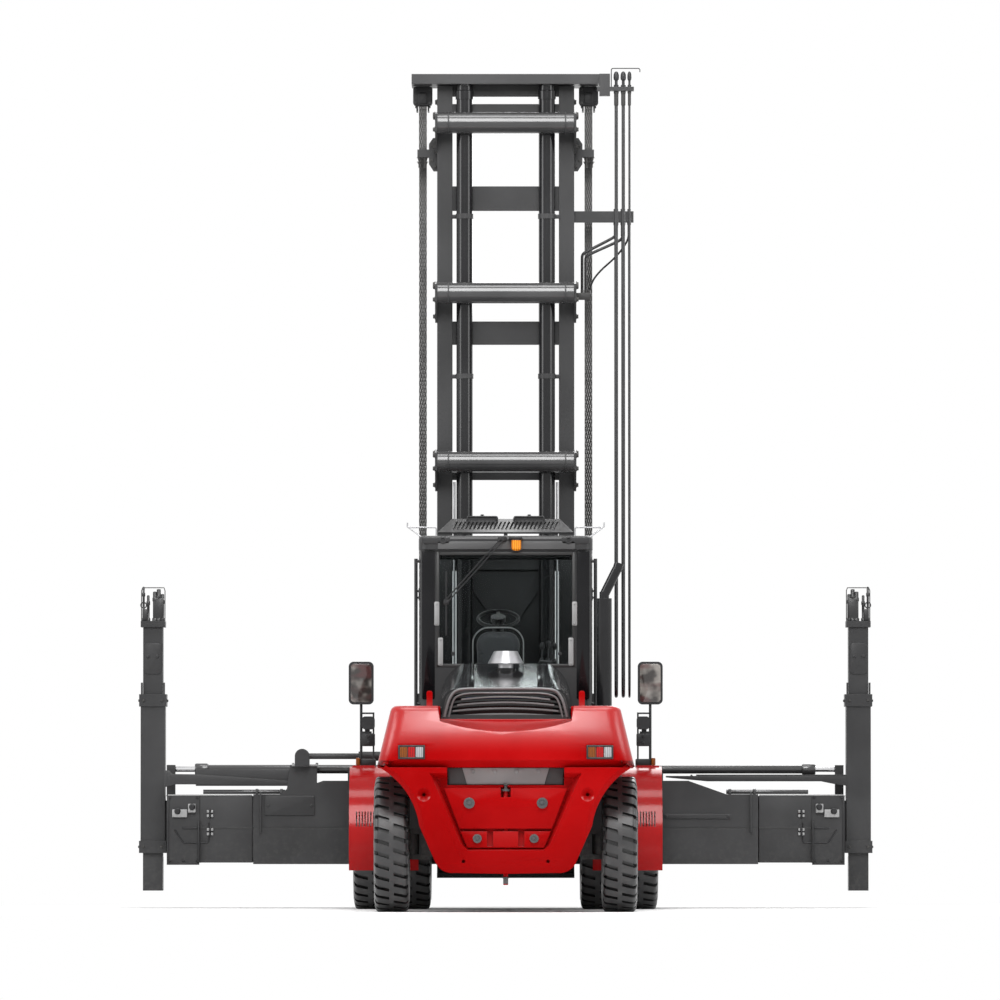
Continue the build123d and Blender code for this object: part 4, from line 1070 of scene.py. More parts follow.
@dataclass
class HoseRun:
    """The three lift hoses that hang in a loop beside the mast, with their swaged ends."""

    places: tuple[tuple[float, float], ...] = tuple(zip(HOSE_XS, (0.028, 0.028, 0.018)))
    bend: float = 0.150
    top_z: float = 6.630
    low_z: float = 1.710
    bracket_z: float = 5.580
    front_y: float = HOSE_Y
    near_bend: float = 0.170

    def route(self, x: float, diameter: float) -> list[Point]:
        """The control points of one hose.

        Args:
            x: Its place across the machine.
            diameter: Its diameter.

        Returns:
            Points from its top end down, round the loop and up to the bracket.
        """
        rear_y = self.front_y - 2.0 * self.bend
        foot_z = self.low_z + diameter / 2.0
        turn_z = foot_z + self.bend
        return [
            (x, rear_y, self.top_z),
            (x, rear_y, turn_z + self.near_bend),
            (x, rear_y, foot_z),
            (x, self.front_y, foot_z),
            (x, self.front_y, turn_z + self.near_bend),
            (x, self.front_y, self.bracket_z),
        ]

    def build(self) -> None:
        """Makes the hoses and their end fittings."""
        rear_y = self.front_y - 2.0 * self.bend
        for number, (x, diameter) in enumerate(self.places, start=1):
            points = spline_points(self.route(x, diameter))
            hose = Shape().sweep(points, diameter / 2.0, 16).done(
                f"lift_hose_{number}", "outer_mast", Finish.HOSE_RUBBER, 60.0, ride=False
            )
            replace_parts(hose, f"hose_{number}")
            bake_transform(hose)
            radius = diameter / 2.0
            for end_y, end_z, way, body in (
                (self.front_y, self.bracket_z, -1.0, "outer_mast"),
                (rear_y, self.top_z, -1.0, "inner_mast"),
            ):
                profile = [
                    (0.0, radius + 0.0015), (0.0, radius + 0.007), (0.018, radius + 0.007), (0.020, radius + 0.004),
                    (0.110, radius + 0.004), (0.118, radius + 0.0015),
                ]
                swage = Shape().turned(profile, (x, end_y, end_z), (0.0, 0.0, way), 20)
                swage.done(f"hose_swage_{number}_{body}", body, Finish.IRON)


@dataclass
class Tyre:
    """An industrial tyre: round side walls and a smooth crown with slanted slots from each shoulder."""

    name: str
    body: str
    node: str
    centers: tuple[tuple[float, float], ...]
    radius: float = 0.5275
    half: float = 0.139
    pitches: int = 34
    steps: int = 3
    slot_depth: float = 0.024
    slant: float = 0.30
    wall: tuple[tuple[float, float], ...] = (
        (0.100, 0.2550), (0.113, 0.2620), (0.119, 0.2780), (0.1225, 0.2860), (0.1230, 0.2960), (0.1275, 0.3050),
        (0.1340, 0.3500), (0.1355, 0.3520), (0.1365, 0.3600), (0.1388, 0.4050), (0.1375, 0.4500), (0.1350, 0.4550),
        (0.1340, 0.4650), (0.1310, 0.4880), (0.1260, 0.5080), (0.1190, 0.5200), (0.1080, 0.5262), (0.0930, 0.5275),
        (0.0680, 0.5275), (0.0430, 0.5275), (0.0180, 0.5275),
    )
    slot_rows: tuple[float, float] = (0.030, 0.131)

    def one(self, shape: Shape, x: float, y: float) -> None:
        """Adds one tyre.

        Args:
            shape: The mesh that it goes into.
            x: Its middle across the machine.
            y: Its axle's place.
        """
        mesh = shape.mesh
        known = set(mesh.verts)
        profile = list(self.wall) + [(-along, radius) for along, radius in reversed(self.wall)]
        shape.turned(profile, (x, y, AXLE_Z), RIGHTWARD, self.pitches * self.steps)
        fresh = [vert for vert in mesh.verts if vert not in known]
        chosen = set(fresh)
        step = math.tau / (self.pitches * self.steps)
        slots = []
        for face in {face for vert in fresh for face in vert.link_faces if set(face.verts) <= chosen}:
            middle = face.calc_center_median() - Vector((x, y, AXLE_Z))
            radius = math.hypot(middle.y, middle.z)
            if radius < self.radius - 0.032 or not self.slot_rows[0] < abs(middle.x) < self.slot_rows[1]:
                continue
            column = int(math.floor((math.atan2(middle.z, middle.y) % math.tau) / step)) % self.steps
            if column == (0 if middle.x < 0.0 else 1):
                slots.append(face)
        walls = bmesh.ops.inset_region(mesh, faces=slots, thickness=0.0012, depth=-self.slot_depth, use_boundary=True)
        # Painted shade: the slots' floors and walls get the near-black second material, darker than the tread, for the
        # shade inside them.
        for face in slots + walls["faces"]:
            face.material_index = 1
        for vert in [vert for vert in mesh.verts if vert not in known]:
            place = vert.co - Vector((x, y, AXLE_Z))
            turn = Matrix.Rotation(self.slant * place.x / self.radius, 3, "X")
            vert.co = turn @ place + Vector((x, y, AXLE_Z))

    def build(self) -> None:
        """Makes the tyres of one wheel body."""
        shape = Shape()
        for x, y in self.centers:
            self.one(shape, x, y)
        piece = shape.done(self.name, self.body, Finish.TYRE, 32.0)
        # The second material is the near-black that paints shade into the slots.
        piece.data.materials.append(material(Finish.MATT_BLACK_AND_SHADE))
        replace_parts(piece, self.node)


@dataclass
class WheelHardware:
    """Wheel nuts and hub caps on the four wheel bodies."""

    steer_x: float = STEER_X
    twin_x: float = sum(TWIN_X) / 2.0

    def nuts(self, x: float, y: float, out: float, circle: float, count: int, body: str, name: str) -> None:
        """Adds one ring of nuts with studs.

        Args:
            x: The face that they sit on.
            y: The axle's place.
            out: Which way is outward, 1 or -1.
            circle: The ring's radius.
            count: How many nuts there are.
            body: The wheel that they ride on.
            name: The piece's name.
        """
        shape = Shape()
        for number in range(count):
            angle = math.tau * number / count
            seat = (x, y + circle * math.cos(angle), AXLE_Z + circle * math.sin(angle))
            shape.bolt(seat, (out, 0.0, 0.0), 0.036, 0.022)
            shape.rod(seat, (x + out * 0.034, seat[1], seat[2]), 0.009, sides=10)
        shape.done(name, body, Finish.STEEL)

    def cap(self, x: float, y: float, out: float, radius: float, body: str, name: str) -> None:
        """Adds a domed hub cap.

        Args:
            x: The face that it sits on.
            y: The axle's place.
            out: Which way is outward, 1 or -1.
            radius: Its radius.
            body: The wheel that it rides on.
            name: The piece's name.
        """
        profile = [
            (0.0, 0.0), (0.0, radius), (0.006, radius), (0.010, radius * 0.90), (0.020, radius * 0.84),
            (0.028, radius * 0.70), (0.032, radius * 0.40), (0.033, 0.0),
        ]
        Shape().turned(profile, (x, y, AXLE_Z), (out, 0.0, 0.0), 40).done(name, body, Finish.RIM_PAINT, 40.0)

    def build(self) -> None:
        """Makes the hardware of all four wheels."""
        for out, side in NAMED_SIDES:
            steer = f"steer_wheel_{side}"
            drive = f"drive_wheel_{side}"
            self.nuts(out * (self.steer_x + 0.046), REAR_AXLE_Y, out, 0.128, 10, steer, f"steer_nuts_{side}")
            self.cap(out * (self.steer_x + 0.112), REAR_AXLE_Y, out, 0.070, steer, f"steer_cap_{side}")
            self.nuts(out * (self.twin_x + 0.130), FRONT_AXLE_Y, out, 0.131, 12, drive, f"drive_nuts_{side}")
            self.cap(out * (self.twin_x + 0.175), FRONT_AXLE_Y, out, 0.095, drive, f"drive_cap_{side}")


@dataclass
class LeafChain:
    """The two lift chains: stacked link plates with pins, over the sheaves at the mast's top."""

    x: float = CHAIN_X
    width: float = 0.064
    thick: float = 0.030
    pitch: float = 0.0312
    sheave_y: float = SHEAVE_Y
    sheave_z: float = SHEAVE_Z
    sheave_radius: float = 0.085
    seat_z: float = 1.750
    anchor_z: float = 6.176

    def plate(self, shape: Shape, low: float, high: float, start: Vector, end: Vector) -> None:
        """Adds one link plate.

        Args:
            shape: The mesh that it goes into.
            low: Its low side across the machine.
            high: Its high side.
            start: The pin that it starts on.
            end: The pin that it ends on.
        """
        line = (end - start).normalized()
        across = Vector((0.0, -line.z, line.y))
        half = self.thick / 2.0
        outline = []
        for pin, way in ((start, -1.0), (end, 1.0)):
            for angle in (-90.0, -30.0, 30.0, 90.0):
                turn = math.radians(angle)
                point = pin + line * (way * half * math.cos(turn)) + across * (way * half * math.sin(turn))
                outline.append(Vector((low, point.y, point.z)))
        shape.prism(outline, (high - low, 0.0, 0.0))

    def links(self, shape: Shape, pins: Sequence[Vector]) -> None:
        """Adds the plates and pins along a row of pins.

        Args:
            shape: The mesh that they go into.
            pins: The pins' middles, in order.
        """
        leaf = self.width / 7.0
        left = -self.width / 2.0
        length = (pins[1] - pins[0]).length
        patterns = []
        for odd in (0, 1):
            pattern = Shape()
            for slot in range(odd, 7, 2):
                low = left + slot * leaf + 0.0006
                self.plate(pattern, low, low + leaf - 0.0012, Vector(), Vector((0.0, 0.0, -length)))
            pattern.rod((left + 0.002, 0.0, 0.0), (self.width / 2.0 - 0.002, 0.0, 0.0), 0.0105, sides=8)
            pattern.box((left + 0.001, -0.009, -length), (self.width / 2.0 - 0.001, 0.009, 0.0))
            patterns.append(pattern)
        for number, (start, end) in enumerate(zip(pins, pins[1:])):
            line = end - start
            turn = Matrix.Rotation(math.atan2(-line.y, -line.z), 4, "X").inverted()
            places = [Matrix.Translation((side * self.x, start.y, start.z)) @ turn for side in SIDES]
            shape.stamp(patterns[number % 2], places)
        for pattern in patterns:
            pattern.mesh.free()

    def build(self) -> None:
        """Makes the front run, the turn over the sheave and the rear run."""
        mid = self.sheave_radius + self.thick / 2.0
        front_y = self.sheave_y + mid
        count = int((self.sheave_z - self.seat_z) / self.pitch)
        fit = (self.sheave_z - self.seat_z) / count
        front = Shape()
        self.links(front, [Vector((0.0, front_y, self.sheave_z - fit * step)) for step in range(count + 1)])
        run = front.done("lift_chain_front", "inner_mast", Finish.CHAIN)
        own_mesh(run)
        turn = Shape()
        steps = 10
        angles = [math.pi * step / steps for step in range(steps + 1)]
        pins = [
            Vector((0.0, self.sheave_y + mid * math.cos(angle), self.sheave_z + mid * math.sin(angle)))
            for angle in angles
        ]
        self.links(turn, pins)
        turn.done("lift_chain_turn", "inner_mast", Finish.CHAIN)
        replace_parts(run, "chains_front")
        rear_y = self.sheave_y - mid
        rows = 12
        rear = Shape()
        drop = (self.sheave_z - self.anchor_z) / rows
        self.links(rear, [Vector((0.0, rear_y, self.sheave_z - drop * step)) for step in range(rows + 1)])
        back = rear.done("lift_chain_rear", "outer_mast", Finish.CHAIN, 30.0, ride=False)
        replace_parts(back, "chains_rear")
        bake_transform(back)
        anchors = Shape()
        for side in SIDES:
            for edge in (-0.022, 0.026):
                x = side * (self.x + edge)
                anchors.rod((x, rear_y, 6.030), (x, rear_y, 6.114), 0.010, sides=12)
                anchors.bolt((x, rear_y, 6.113), DOWN, 0.034, 0.024)
                anchors.bolt((x, rear_y, 6.078), DOWN, 0.034, 0.018)
        anchors.done("chain_anchor_studs", "outer_mast", Finish.IRON)


@dataclass
class CounterweightTrim:
    """Cover discs, tow pin, pocket plate and tail lamps on the counterweight."""

    panel_y: float = REAR_END_Y + 0.106
    lamp_x: tuple[float, float] = (0.625, 0.832)
    lamp_z: tuple[float, float] = (1.186, 1.294)
    lamp_y: float = REAR_END_Y + 0.050

    def discs(self) -> None:
        """Makes the grey cover discs."""
        shape = Shape()
        for x, z, radius in ((0.283, 0.846, 0.043), (0.220, 0.571, 0.035)):
            for side in SIDES:
                profile = [
                    (0.0, 0.0), (0.0, radius), (0.006, radius), (0.010, radius - 0.004), (0.010, radius * 0.62),
                    (0.006, radius * 0.56), (0.006, 0.0),
                ]
                shape.turned(profile, (side * x, self.panel_y, z), REARWARD, 36)
                shape.bolt((side * x, self.panel_y - 0.006, z), REARWARD, radius * 0.55, 0.010)
        shape.done("counterweight_discs", "chassis", Finish.MID_GREY)

    def tow_pin(self) -> None:
        """Makes the tow pin's head and the retaining ring at its lower end."""
        y = REAR_END_Y + 0.160
        head = [
            (0.0, 0.0), (0.0, 0.034), (0.012, 0.034), (0.016, 0.030), (0.020, 0.012), (0.042, 0.012), (0.048, 0.020),
            (0.056, 0.020), (0.060, 0.0),
        ]
        shape = Shape().turned(head, (0.0, y, 0.938), UP, 28)
        foot = [(0.0, 0.0), (0.0, 0.013), (0.010, 0.0195), (0.060, 0.0195), (0.060, 0.0)]
        shape.turned(foot, (0.0, y, 0.212), UP, 28)
        ring = [(0.0, 0.020), (0.004, 0.026), (0.010, 0.026), (0.014, 0.020)]
        shape.turned(ring, (0.0, y, 0.262), UP, 28)
        shape.done("tow_pin_ends", "chassis", Finish.MID_GREY)

    def pocket(self) -> None:
        """Makes the grey plate that closes the pocket under the upper casting."""
        y = REAR_END_Y + 0.204
        outline = [(-0.337, y, 1.118), (0.337, y, 1.118), (0.300, y, 0.990), (-0.300, y, 0.990)]
        shape = Shape().prism(outline, (0.0, 0.0258, 0.0), 0.004)
        for x in (-0.255, -0.085, 0.085, 0.255):
            shape.bolt((x, y, 1.092), REARWARD, 0.026, 0.012)
        wings = Shape()
        for side in SIDES:
            corners = ((0.325, 1.118), (0.452, 1.118), (0.440, 0.990), (0.290, 0.990))
            wings.prism([(side * x, y + 0.012, z) for x, z in corners], (0.0, 0.012, 0.0), 0.002)
        wings.done("pocket_wings", "chassis", Finish.MID_GREY)
        shape.done("pocket_plate", "chassis", Finish.BRIGHT)

    def lamps(self) -> None:
        """Makes both tail lamps: a black frame round an amber, a red and a clear lens."""
        plane = self.lamp_y
        low, high = self.lamp_z
        frame = Shape()
        for side in SIDES:
            left, right = sorted((side * self.lamp_x[0], side * self.lamp_x[1]))
            frame.frame(
                (left, plane - 0.014, low), (right, plane + 0.010, high), Axis.Y, 0.014, 0.003
            )
            third = (right - left - 0.022) / 3.0
            for number, finish in enumerate((Finish.LAMP_AMBER, Finish.LAMP_RED, Finish.LAMP_CLEAR)):
                start = left + 0.011 + number * third
                lens = Shape().slab(
                    (start + 0.002, plane - 0.012, low + 0.013),
                    (start + third - 0.002, plane + 0.006, high - 0.013), Axis.Y, 0.010, 0.004,
                )
                lens.done(f"tail_lens_{number}_{'left' if side < 0.0 else 'right'}", "chassis", finish, 40.0)
            for number in (1, 2):
                x = left + 0.011 + number * third
                frame.box((x - 0.003, plane - 0.010, low + 0.011), (x + 0.003, plane, high - 0.011))
        frame.done("tail_lamp_frames", "chassis", Finish.HOSE_RUBBER)

    def build(self) -> None:
        """Makes the whole trim."""
        self.discs()
        self.tow_pin()
        self.pocket()
        self.lamps()


def cut_level(mesh: BMesh, level: float, reach: float) -> None:
    """Cuts edges into a mesh all round at one height.

    Args:
        mesh: The mesh.
        level: The height.
        reach: Vertices this near to it count as on it.
    """
    whole = mesh.verts[:] + mesh.edges[:] + mesh.faces[:]
    bmesh.ops.bisect_plane(mesh, geom=whole, plane_co=(0.0, 0.0, level), plane_no=UP, dist=reach)


@dataclass
class Crown:
    """A gentle outward curve of a casting's rear face, from its lower edge to its top."""

    middle_z: float
    curve: float
    levels: tuple[float, ...]
    deep_y: float
    fade: float = 0.20

    def bend(self, mesh: BMesh) -> None:
        """Cuts a mesh at the levels and curves its rear.

        Args:
            mesh: The mesh.
        """
        for level in self.levels:
            cut_level(mesh, level, 1e-5)
        for vert in mesh.verts:
            share = min(max((self.deep_y - vert.co.y) / self.fade, 0.0), 1.0)
            vert.co.y += share * self.curve * (vert.co.z - self.middle_z) ** 2


@dataclass
class RoundedCopy:
    """A copy of a CAD node with its edges rounded, and with chosen edges cut back to a flat first."""

    node: str
    body: str
    finish: Finish
    round_edge: float
    sharp: float = 28.0

    def build(
        self, frame: dict[str, Any], flat: float = 0.0, pick: Union[Callable[[Vector, Vector], bool], None] = None,
        without: Union[tuple[Point, Point], None] = None, crown: Union["Crown", None] = None,
    ) -> None:
        """Makes the copy and lets it stand for the node.

        Args:
            flat: The width that chosen edges are cut back by.
            pick: Tells from an edge's two ends whether it is chosen.
            without: The corners of an upright block that is left out of the copy.
            crown: How the rear face is curved.
        """
        shape = Shape()
        mesh = shape.mesh
        mesh.from_mesh(frame["nodes"][self.node].data)
        bmesh.ops.remove_doubles(mesh, verts=mesh.verts[:], dist=2e-5)
        if without is not None:
            self.leave_out(mesh, *without)
        bmesh.ops.dissolve_limit(
            mesh, angle_limit=math.radians(0.6), use_dissolve_boundaries=False, verts=mesh.verts[:], edges=mesh.edges[:]
        )
        if pick is not None:
            chosen = [edge for edge in self.corners(mesh) if pick(edge.verts[0].co, edge.verts[1].co)]
            LOG.info("%s: %d edges cut back", self.node, len(chosen))
            bmesh.ops.bevel(
                mesh, geom=chosen, offset=flat, offset_type="OFFSET", segments=1, profile=0.5, affect="EDGES",
                clamp_overlap=False, material=-1,
            )
        if self.round_edge > 0.0:
            bmesh.ops.bevel(
                mesh, geom=self.corners(mesh), offset=self.round_edge, offset_type="OFFSET", segments=3, profile=0.5,
                affect="EDGES", clamp_overlap=True, material=-1,
            )
        if crown is not None:
            crown.bend(mesh)
        bmesh.ops.recalc_face_normals(mesh, faces=mesh.faces[:])
        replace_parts(shape.done(f"{self.node}_rounded", self.body, self.finish, 35.0), self.node)

    @staticmethod
    def leave_out(mesh: BMesh, low: Point, high: Point) -> None:
        """Takes an upright block off a mesh and closes the holes.

        Args:
            mesh: The mesh.
            low: The block's lowest corner.
            high: The block's highest corner.
        """
        for level in (low[2], high[2]):
            cut_level(mesh, level, 1e-6)
        gone = [
            face for face in mesh.faces
            if all(low[axis] - 1e-5 < vert.co[axis] < high[axis] + 1e-5 for vert in face.verts for axis in range(3))
        ]
        bmesh.ops.delete(mesh, geom=gone, context="FACES")
        bmesh.ops.holes_fill(mesh, edges=[edge for edge in mesh.edges if edge.is_boundary], sides=0)

    def corners(self, mesh: BMesh) -> list[BMEdge]:
        """The edges of a mesh that are sharper than this copy's limit."""
        limit = math.radians(self.sharp)
        return [edge for edge in mesh.edges if edge.is_manifold and edge.calc_face_angle(0.0) > limit]


@dataclass
class HoodTrim:
    """The hood's ribs and latches, the grille's rim and louvres and the shroud behind them."""

    front_y: float = FRONT_AXLE_Y - 1.840
    rear_y: float = REAR_END_Y + 0.700
    front_z: float = 1.955
    rear_z: float = 1.735

    def top_z(self, y: float) -> float:
        """The height of the hood's top at a place along the machine."""
        return self.rear_z + (self.front_z - self.rear_z) * (y - self.rear_y) / (self.front_y - self.rear_y)

    def grille(self) -> None:
        """Makes the pale double rim of the grille and its curved louvres."""
        y = self.rear_y - 0.192
        rim = Shape()
        for inset, radius, depth in ((0.0, 0.011, 0.0), (0.034, 0.008, 0.010)):
            half = [
                (0.478 - inset, 1.515), (0.462 - inset, 1.585), (0.438 - inset, 1.660), (0.396 - inset, 1.722 - inset),
                (0.318 - inset, 1.736 - inset), (0.160, 1.738 - inset),
            ]
            route = [(-x, y + depth, z) for x, z in half] + [(0.0, y + depth, 1.738 - inset)]
            route += [(x, y + depth, z) for x, z in reversed(half)]
            rim.pipe(route, radius, 12)
        rim.done("grille_rim", "chassis", Finish.GRILLE_GREY, 60.0)
        blades = Shape()
        for z, half in ((1.668, 0.345), (1.624, 0.378), (1.578, 0.410), (1.534, 0.436)):
            arc = [(half * step / 8.0, z - 0.022 * (step / 8.0) ** 2) for step in range(-8, 9)]
            ring = arc + [(x, low + 0.013) for x, low in reversed(arc)]
            blades.prism([(x, y + 0.012, low) for x, low in ring], (0.0, 0.030, 0.0))
        blades.done("grille_blades", "chassis", Finish.GRILLE_GREY)

    def build(self) -> None:
        """Makes the trim."""
        ribs = Shape()
        for x in (-0.27, 0.27):
            start, end = self.front_y - 0.06, self.rear_y + 0.05
            outline = [
                (x - 0.020, start, self.top_z(start) - 0.004), (x + 0.020, start, self.top_z(start) - 0.004),
                (x + 0.024, end, self.top_z(end) - 0.004), (x - 0.024, end, self.top_z(end) - 0.004),
            ]
            ribs.prism(outline, (0.0, 0.0, 0.013), 0.005)
        ribs.done("hood_ribs", "hood", Finish.GLOSS_BLACK)
        latches = Shape()
        for side in SIDES:
            x = side * 0.500
            for y in (self.front_y - 0.25, self.rear_y + 0.30):
                latches.slab(
                    (x - side * 0.002, y - 0.045, 1.540),
                    (x + side * 0.014, y + 0.045, 1.600), Axis.X, 0.014, 0.003,
                )
                latches.slab(
                    (x + side * 0.010, y - 0.012, 1.548),
                    (x + side * 0.026, y + 0.012, 1.592), Axis.X, 0.006, 0.002,
                )
        latches.done("hood_latches", "hood", Finish.PLASTIC)
        self.grille()
        y = self.rear_y - 0.005 - 0.180 + 0.094
        # Painted shade: the fan shroud behind the grille gets the darkened red.
        Shape().slab((-0.366, y, 1.536), (0.366, y + 0.005, 1.650), Axis.Y, 0.04).done(
            "fan_shroud", "chassis", Finish.SHADE_RED
        )
        Shape().rod((-0.31, y - 0.004, 1.668), (0.30, y - 0.004, 1.668), 0.007, sides=10).done(
            "coolant_line", "chassis", Finish.COOLANT_LINE, 40.0
        )


@dataclass
class CabTrim:
    """Seals, wiper, beacon, handles, lamps, ledges and struts of the cab."""

    rear_y: float = CAB_REAR_Y
    front_y: float = FRONT_AXLE_Y - 0.340
    half: float = 0.680
    window_z: tuple[float, float] = (1.940, 2.830)

    def seals(self) -> None:
        """Makes the rubber round the rear and front windows."""
        rear = self.rear_y
        low, high = self.window_z
        shape = Shape()
        shape.frame((-0.552, rear - 0.006, low - 0.012), (0.552, rear + 0.012, high + 0.012), Axis.Y, 0.026, 0.005)
        shape.frame(
            (-0.622, self.front_y - 0.012, 1.468),
            (0.622, self.front_y + 0.006, high + 0.012), Axis.Y, 0.026, 0.005,
        )
        shape.done("window_seals", "chassis", Finish.MATT_BLACK_AND_SHADE)

    def wiper(self) -> None:
        """Makes the rear wiper: motor cover, two arm rods and the blade."""
        rear = self.rear_y
        y = rear - 0.040
        shape = Shape()
        shape.slab((-0.062, y - 0.014, 2.925), (0.010, rear - 0.026, 2.966), Axis.Y, 0.014, 0.004)
        shape.rod((-0.026, y - 0.026, 2.946), (-0.026, y - 0.010, 2.946), 0.014, sides=20)
        shape.rod((-0.034, y - 0.022, 2.952), (-0.482, y - 0.010, 2.452), 0.0050, sides=10)
        shape.rod((-0.014, y - 0.022, 2.936), (-0.466, y - 0.010, 2.436), 0.0050, sides=10)
        shape.box((-0.492, y - 0.012, 2.424), (-0.452, y + 0.004, 2.462), 0.004)
        shape.rod((-0.472, y + 0.006, 2.190), (-0.472, y + 0.006, 2.680), 0.006, sides=8)
        shape.rod((-0.472, y + 0.018, 2.180), (-0.472, y + 0.018, 2.690), 0.005, sides=8)
        shape.done("rear_wiper", "chassis", Finish.PLASTIC, 35.0)

    def beacon(self) -> None:
        """Makes the hanging beacon that stands for its CAD solid."""
        rear = self.rear_y
        x, y, top = 0.084, rear - 0.080, 2.940
        base = Shape()
        base.slab((x - 0.060, rear - 0.120, top), (x + 0.050, rear - 0.030, top + 0.020), Axis.Z, 0.018, 0.004)
        ring = [(0.0, 0.0), (0.0, 0.041), (0.008, 0.041), (0.010, 0.036), (0.010, 0.0)]
        base.turned(ring, (x, y, top), DOWN, 36)
        base.done("beacon_base", "chassis", Finish.PLASTIC)
        dome = [(0.008, 0.0), (0.008, 0.039)]
        for step in range(5):
            dome += [(0.014 + 0.012 * step, 0.0395), (0.020 + 0.012 * step, 0.0378)]
        dome += [(0.078, 0.037), (0.086, 0.029), (0.091, 0.015), (0.092, 0.0)]
        lens = Shape().turned(dome, (x, y, top), DOWN, 40)
        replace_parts(lens.done("beacon_lens", "chassis", Finish.BEACON, 40.0), "beacon")

    def struts(self) -> None:
        """Makes the four bright strips beside the rear window."""
        rear = self.rear_y
        shape = Shape()
        for side in SIDES:
            for x, low, high in ((0.546, 2.257, 2.447), (0.517, 1.940, 2.162)):
                shape.slab(
                    (side * (x - 0.020), rear - 0.016, low),
                    (side * (x + 0.020), rear - 0.005, high), Axis.Y, 0.010, 0.003,
                )
                for z in (low + 0.018, high - 0.018):
                    shape.bolt((side * x, rear - 0.016, z), REARWARD, 0.014, 0.006)
        shape.done("window_strips", "chassis", Finish.BRIGHT)

    def ledges(self) -> None:
        """Makes the roof's corner ledges with their lifting rings, and the rod brackets above them."""
        rear = self.rear_y
        shape = Shape()
        rods = Shape()
        for side in SIDES:
            shape.slab((side * 0.440, rear - 0.036, 2.905), (side * 0.668, rear + 0.060, 2.962), Axis.Y, 0.022, 0.005)
            ring = [(0.0, 0.016), (0.0, 0.030), (0.008, 0.030), (0.010, 0.026), (0.010, 0.016)]
            shape.turned(ring, (side * 0.498, rear - 0.036, 2.935), REARWARD, 24)
            y = rear + 0.35
            for route in (
                ((0.553, 2.962), (0.553, 3.046), (0.783, 3.046), (0.783, 3.085)), ((0.775, 3.046), (0.660, 2.962)),
            ):
                rods.pipe([(side * x, y, z) for x, z in route], 0.006, 8, False)
        shape.done("roof_ledges", "chassis", Finish.CAB_GREY)
        rods.done("roof_rods", "chassis", Finish.STEEL, 40.0)

    def lamps(self) -> None:
        """Makes the roof lamps' lenses and mounts, and a black sheet under the guard that paints shade into its slots.
        """
        shape = Shape()
        guard_y = self.rear_y + 0.350
        for side in SIDES:
            shape.slab(
                (side * 0.072, guard_y + 0.329, 3.101),
                (side * 0.303, guard_y + 0.336, 3.140), Axis.Y, 0.014, 0.003,
            )
            shape.slab(
                (side * 0.394, self.front_y + 0.099, 2.888),
                (side * 0.526, self.front_y + 0.106, 2.972), Axis.Y, 0.018, 0.003,
            )
        shape.done("roof_lamp_lenses", "chassis", Finish.LAMP_CLEAR)
        hoods = Shape()
        for side in SIDES:
            middle = side * 0.1875
            hoods.bolt((middle, guard_y + 0.290, 3.144), UP, 0.030, 0.014)
            hoods.frame(
                (side * 0.066, guard_y + 0.240, 3.097),
                (side * 0.309, guard_y + 0.252, 3.143), Axis.Y, 0.010, 0.003,
            )
        hoods.done("roof_lamp_mounts", "chassis", Finish.PLASTIC)
        # Painted shade: a black sheet under the guard's slots, so that they read dark as if in shade.
        slot_shade_sheet = Shape()
        fall = Vector((0.0, 0.115, -0.300)).normalized() * 0.004
        corners = ((-0.522, 0.020), (0.522, 0.020), (0.424, 0.300), (-0.424, 0.300))
        slope = Vector((0.0, 0.300, 0.115)).normalized()
        outline = [
            Vector((x, guard_y, 2.995)) + slope * run + fall * 0.25 for x, run in corners
        ]
        slot_shade_sheet.prism(outline, fall)
        slot_shade_sheet.done("guard_slot_shade", "chassis", Finish.MATT_BLACK_AND_SHADE)

    def covers(self) -> None:
        """Makes the gloss covers on the rear pillars, the header band and the small bolts under the window."""
        rear = self.rear_y
        gloss = Shape()
        for side in SIDES:
            gloss.slab((side * 0.562, rear - 0.005, 1.672), (side * 0.664, rear + 0.003, 2.852), Axis.Y, 0.016, 0.002)
        gloss.done("pillar_covers", "chassis", Finish.PILLAR)
        band = Shape().slab((-0.537, rear - 0.036, 2.862), (0.550, rear - 0.026, 2.924), Axis.Y, 0.010, 0.003)
        band.done("roof_header", "chassis", Finish.MID_GREY)
        bolts = Shape()
        for x in (-0.418, 0.431):
            bolts.bolt((x, rear + 0.018, 2.035), REARWARD, 0.024, 0.012)
        bolts.done("window_bolts", "chassis", Finish.PLASTIC)

    def doors(self) -> None:
        """Makes handles, hinges and seals on both doors."""
        for side, name in NAMED_SIDES:
            x = side * self.half
            trim = Shape()
            trim.slab(
                (x - side * 0.004, FRONT_AXLE_Y - 0.500, 1.330),
                (x + side * 0.012, FRONT_AXLE_Y - 0.425, 1.440), Axis.X, 0.018, 0.003,
            )
            trim.slab(
                (x + side * 0.010, FRONT_AXLE_Y - 0.488, 1.375),
                (x + side * 0.030, FRONT_AXLE_Y - 0.437, 1.400), Axis.X, 0.009, 0.003,
            )
            trim.frame(
                (x - side * 0.012, FRONT_AXLE_Y - 1.577, 1.438),
                (x + side * 0.005, FRONT_AXLE_Y - 0.453, 2.812), Axis.X, 0.024, 0.004,
            )
            trim.done(f"door_trim_{name}", f"door_{name}", Finish.PLASTIC)
            hinges = Shape()
            for z in (1.470, 2.510):
                hinges.slab(
                    (x - side * 0.002, FRONT_AXLE_Y - 1.632, z - 0.050),
                    (x + side * 0.012, FRONT_AXLE_Y - 1.560, z + 0.050), Axis.X, 0.012, 0.003,
                )
                hinges.bolt((x + side * 0.012, FRONT_AXLE_Y - 1.585, z + 0.026), (side, 0.0, 0.0), 0.018, 0.007)
                hinges.bolt((x + side * 0.012, FRONT_AXLE_Y - 1.585, z - 0.026), (side, 0.0, 0.0), 0.018, 0.007)
            hinges.done(f"door_hinges_{name}", f"door_{name}", Finish.CAB_GREY)

    def build(self) -> None:
        """Makes the whole trim."""
        self.seals()
        self.wiper()
        self.beacon()
        self.struts()
        self.ledges()
        self.lamps()
        self.covers()
        self.doors()


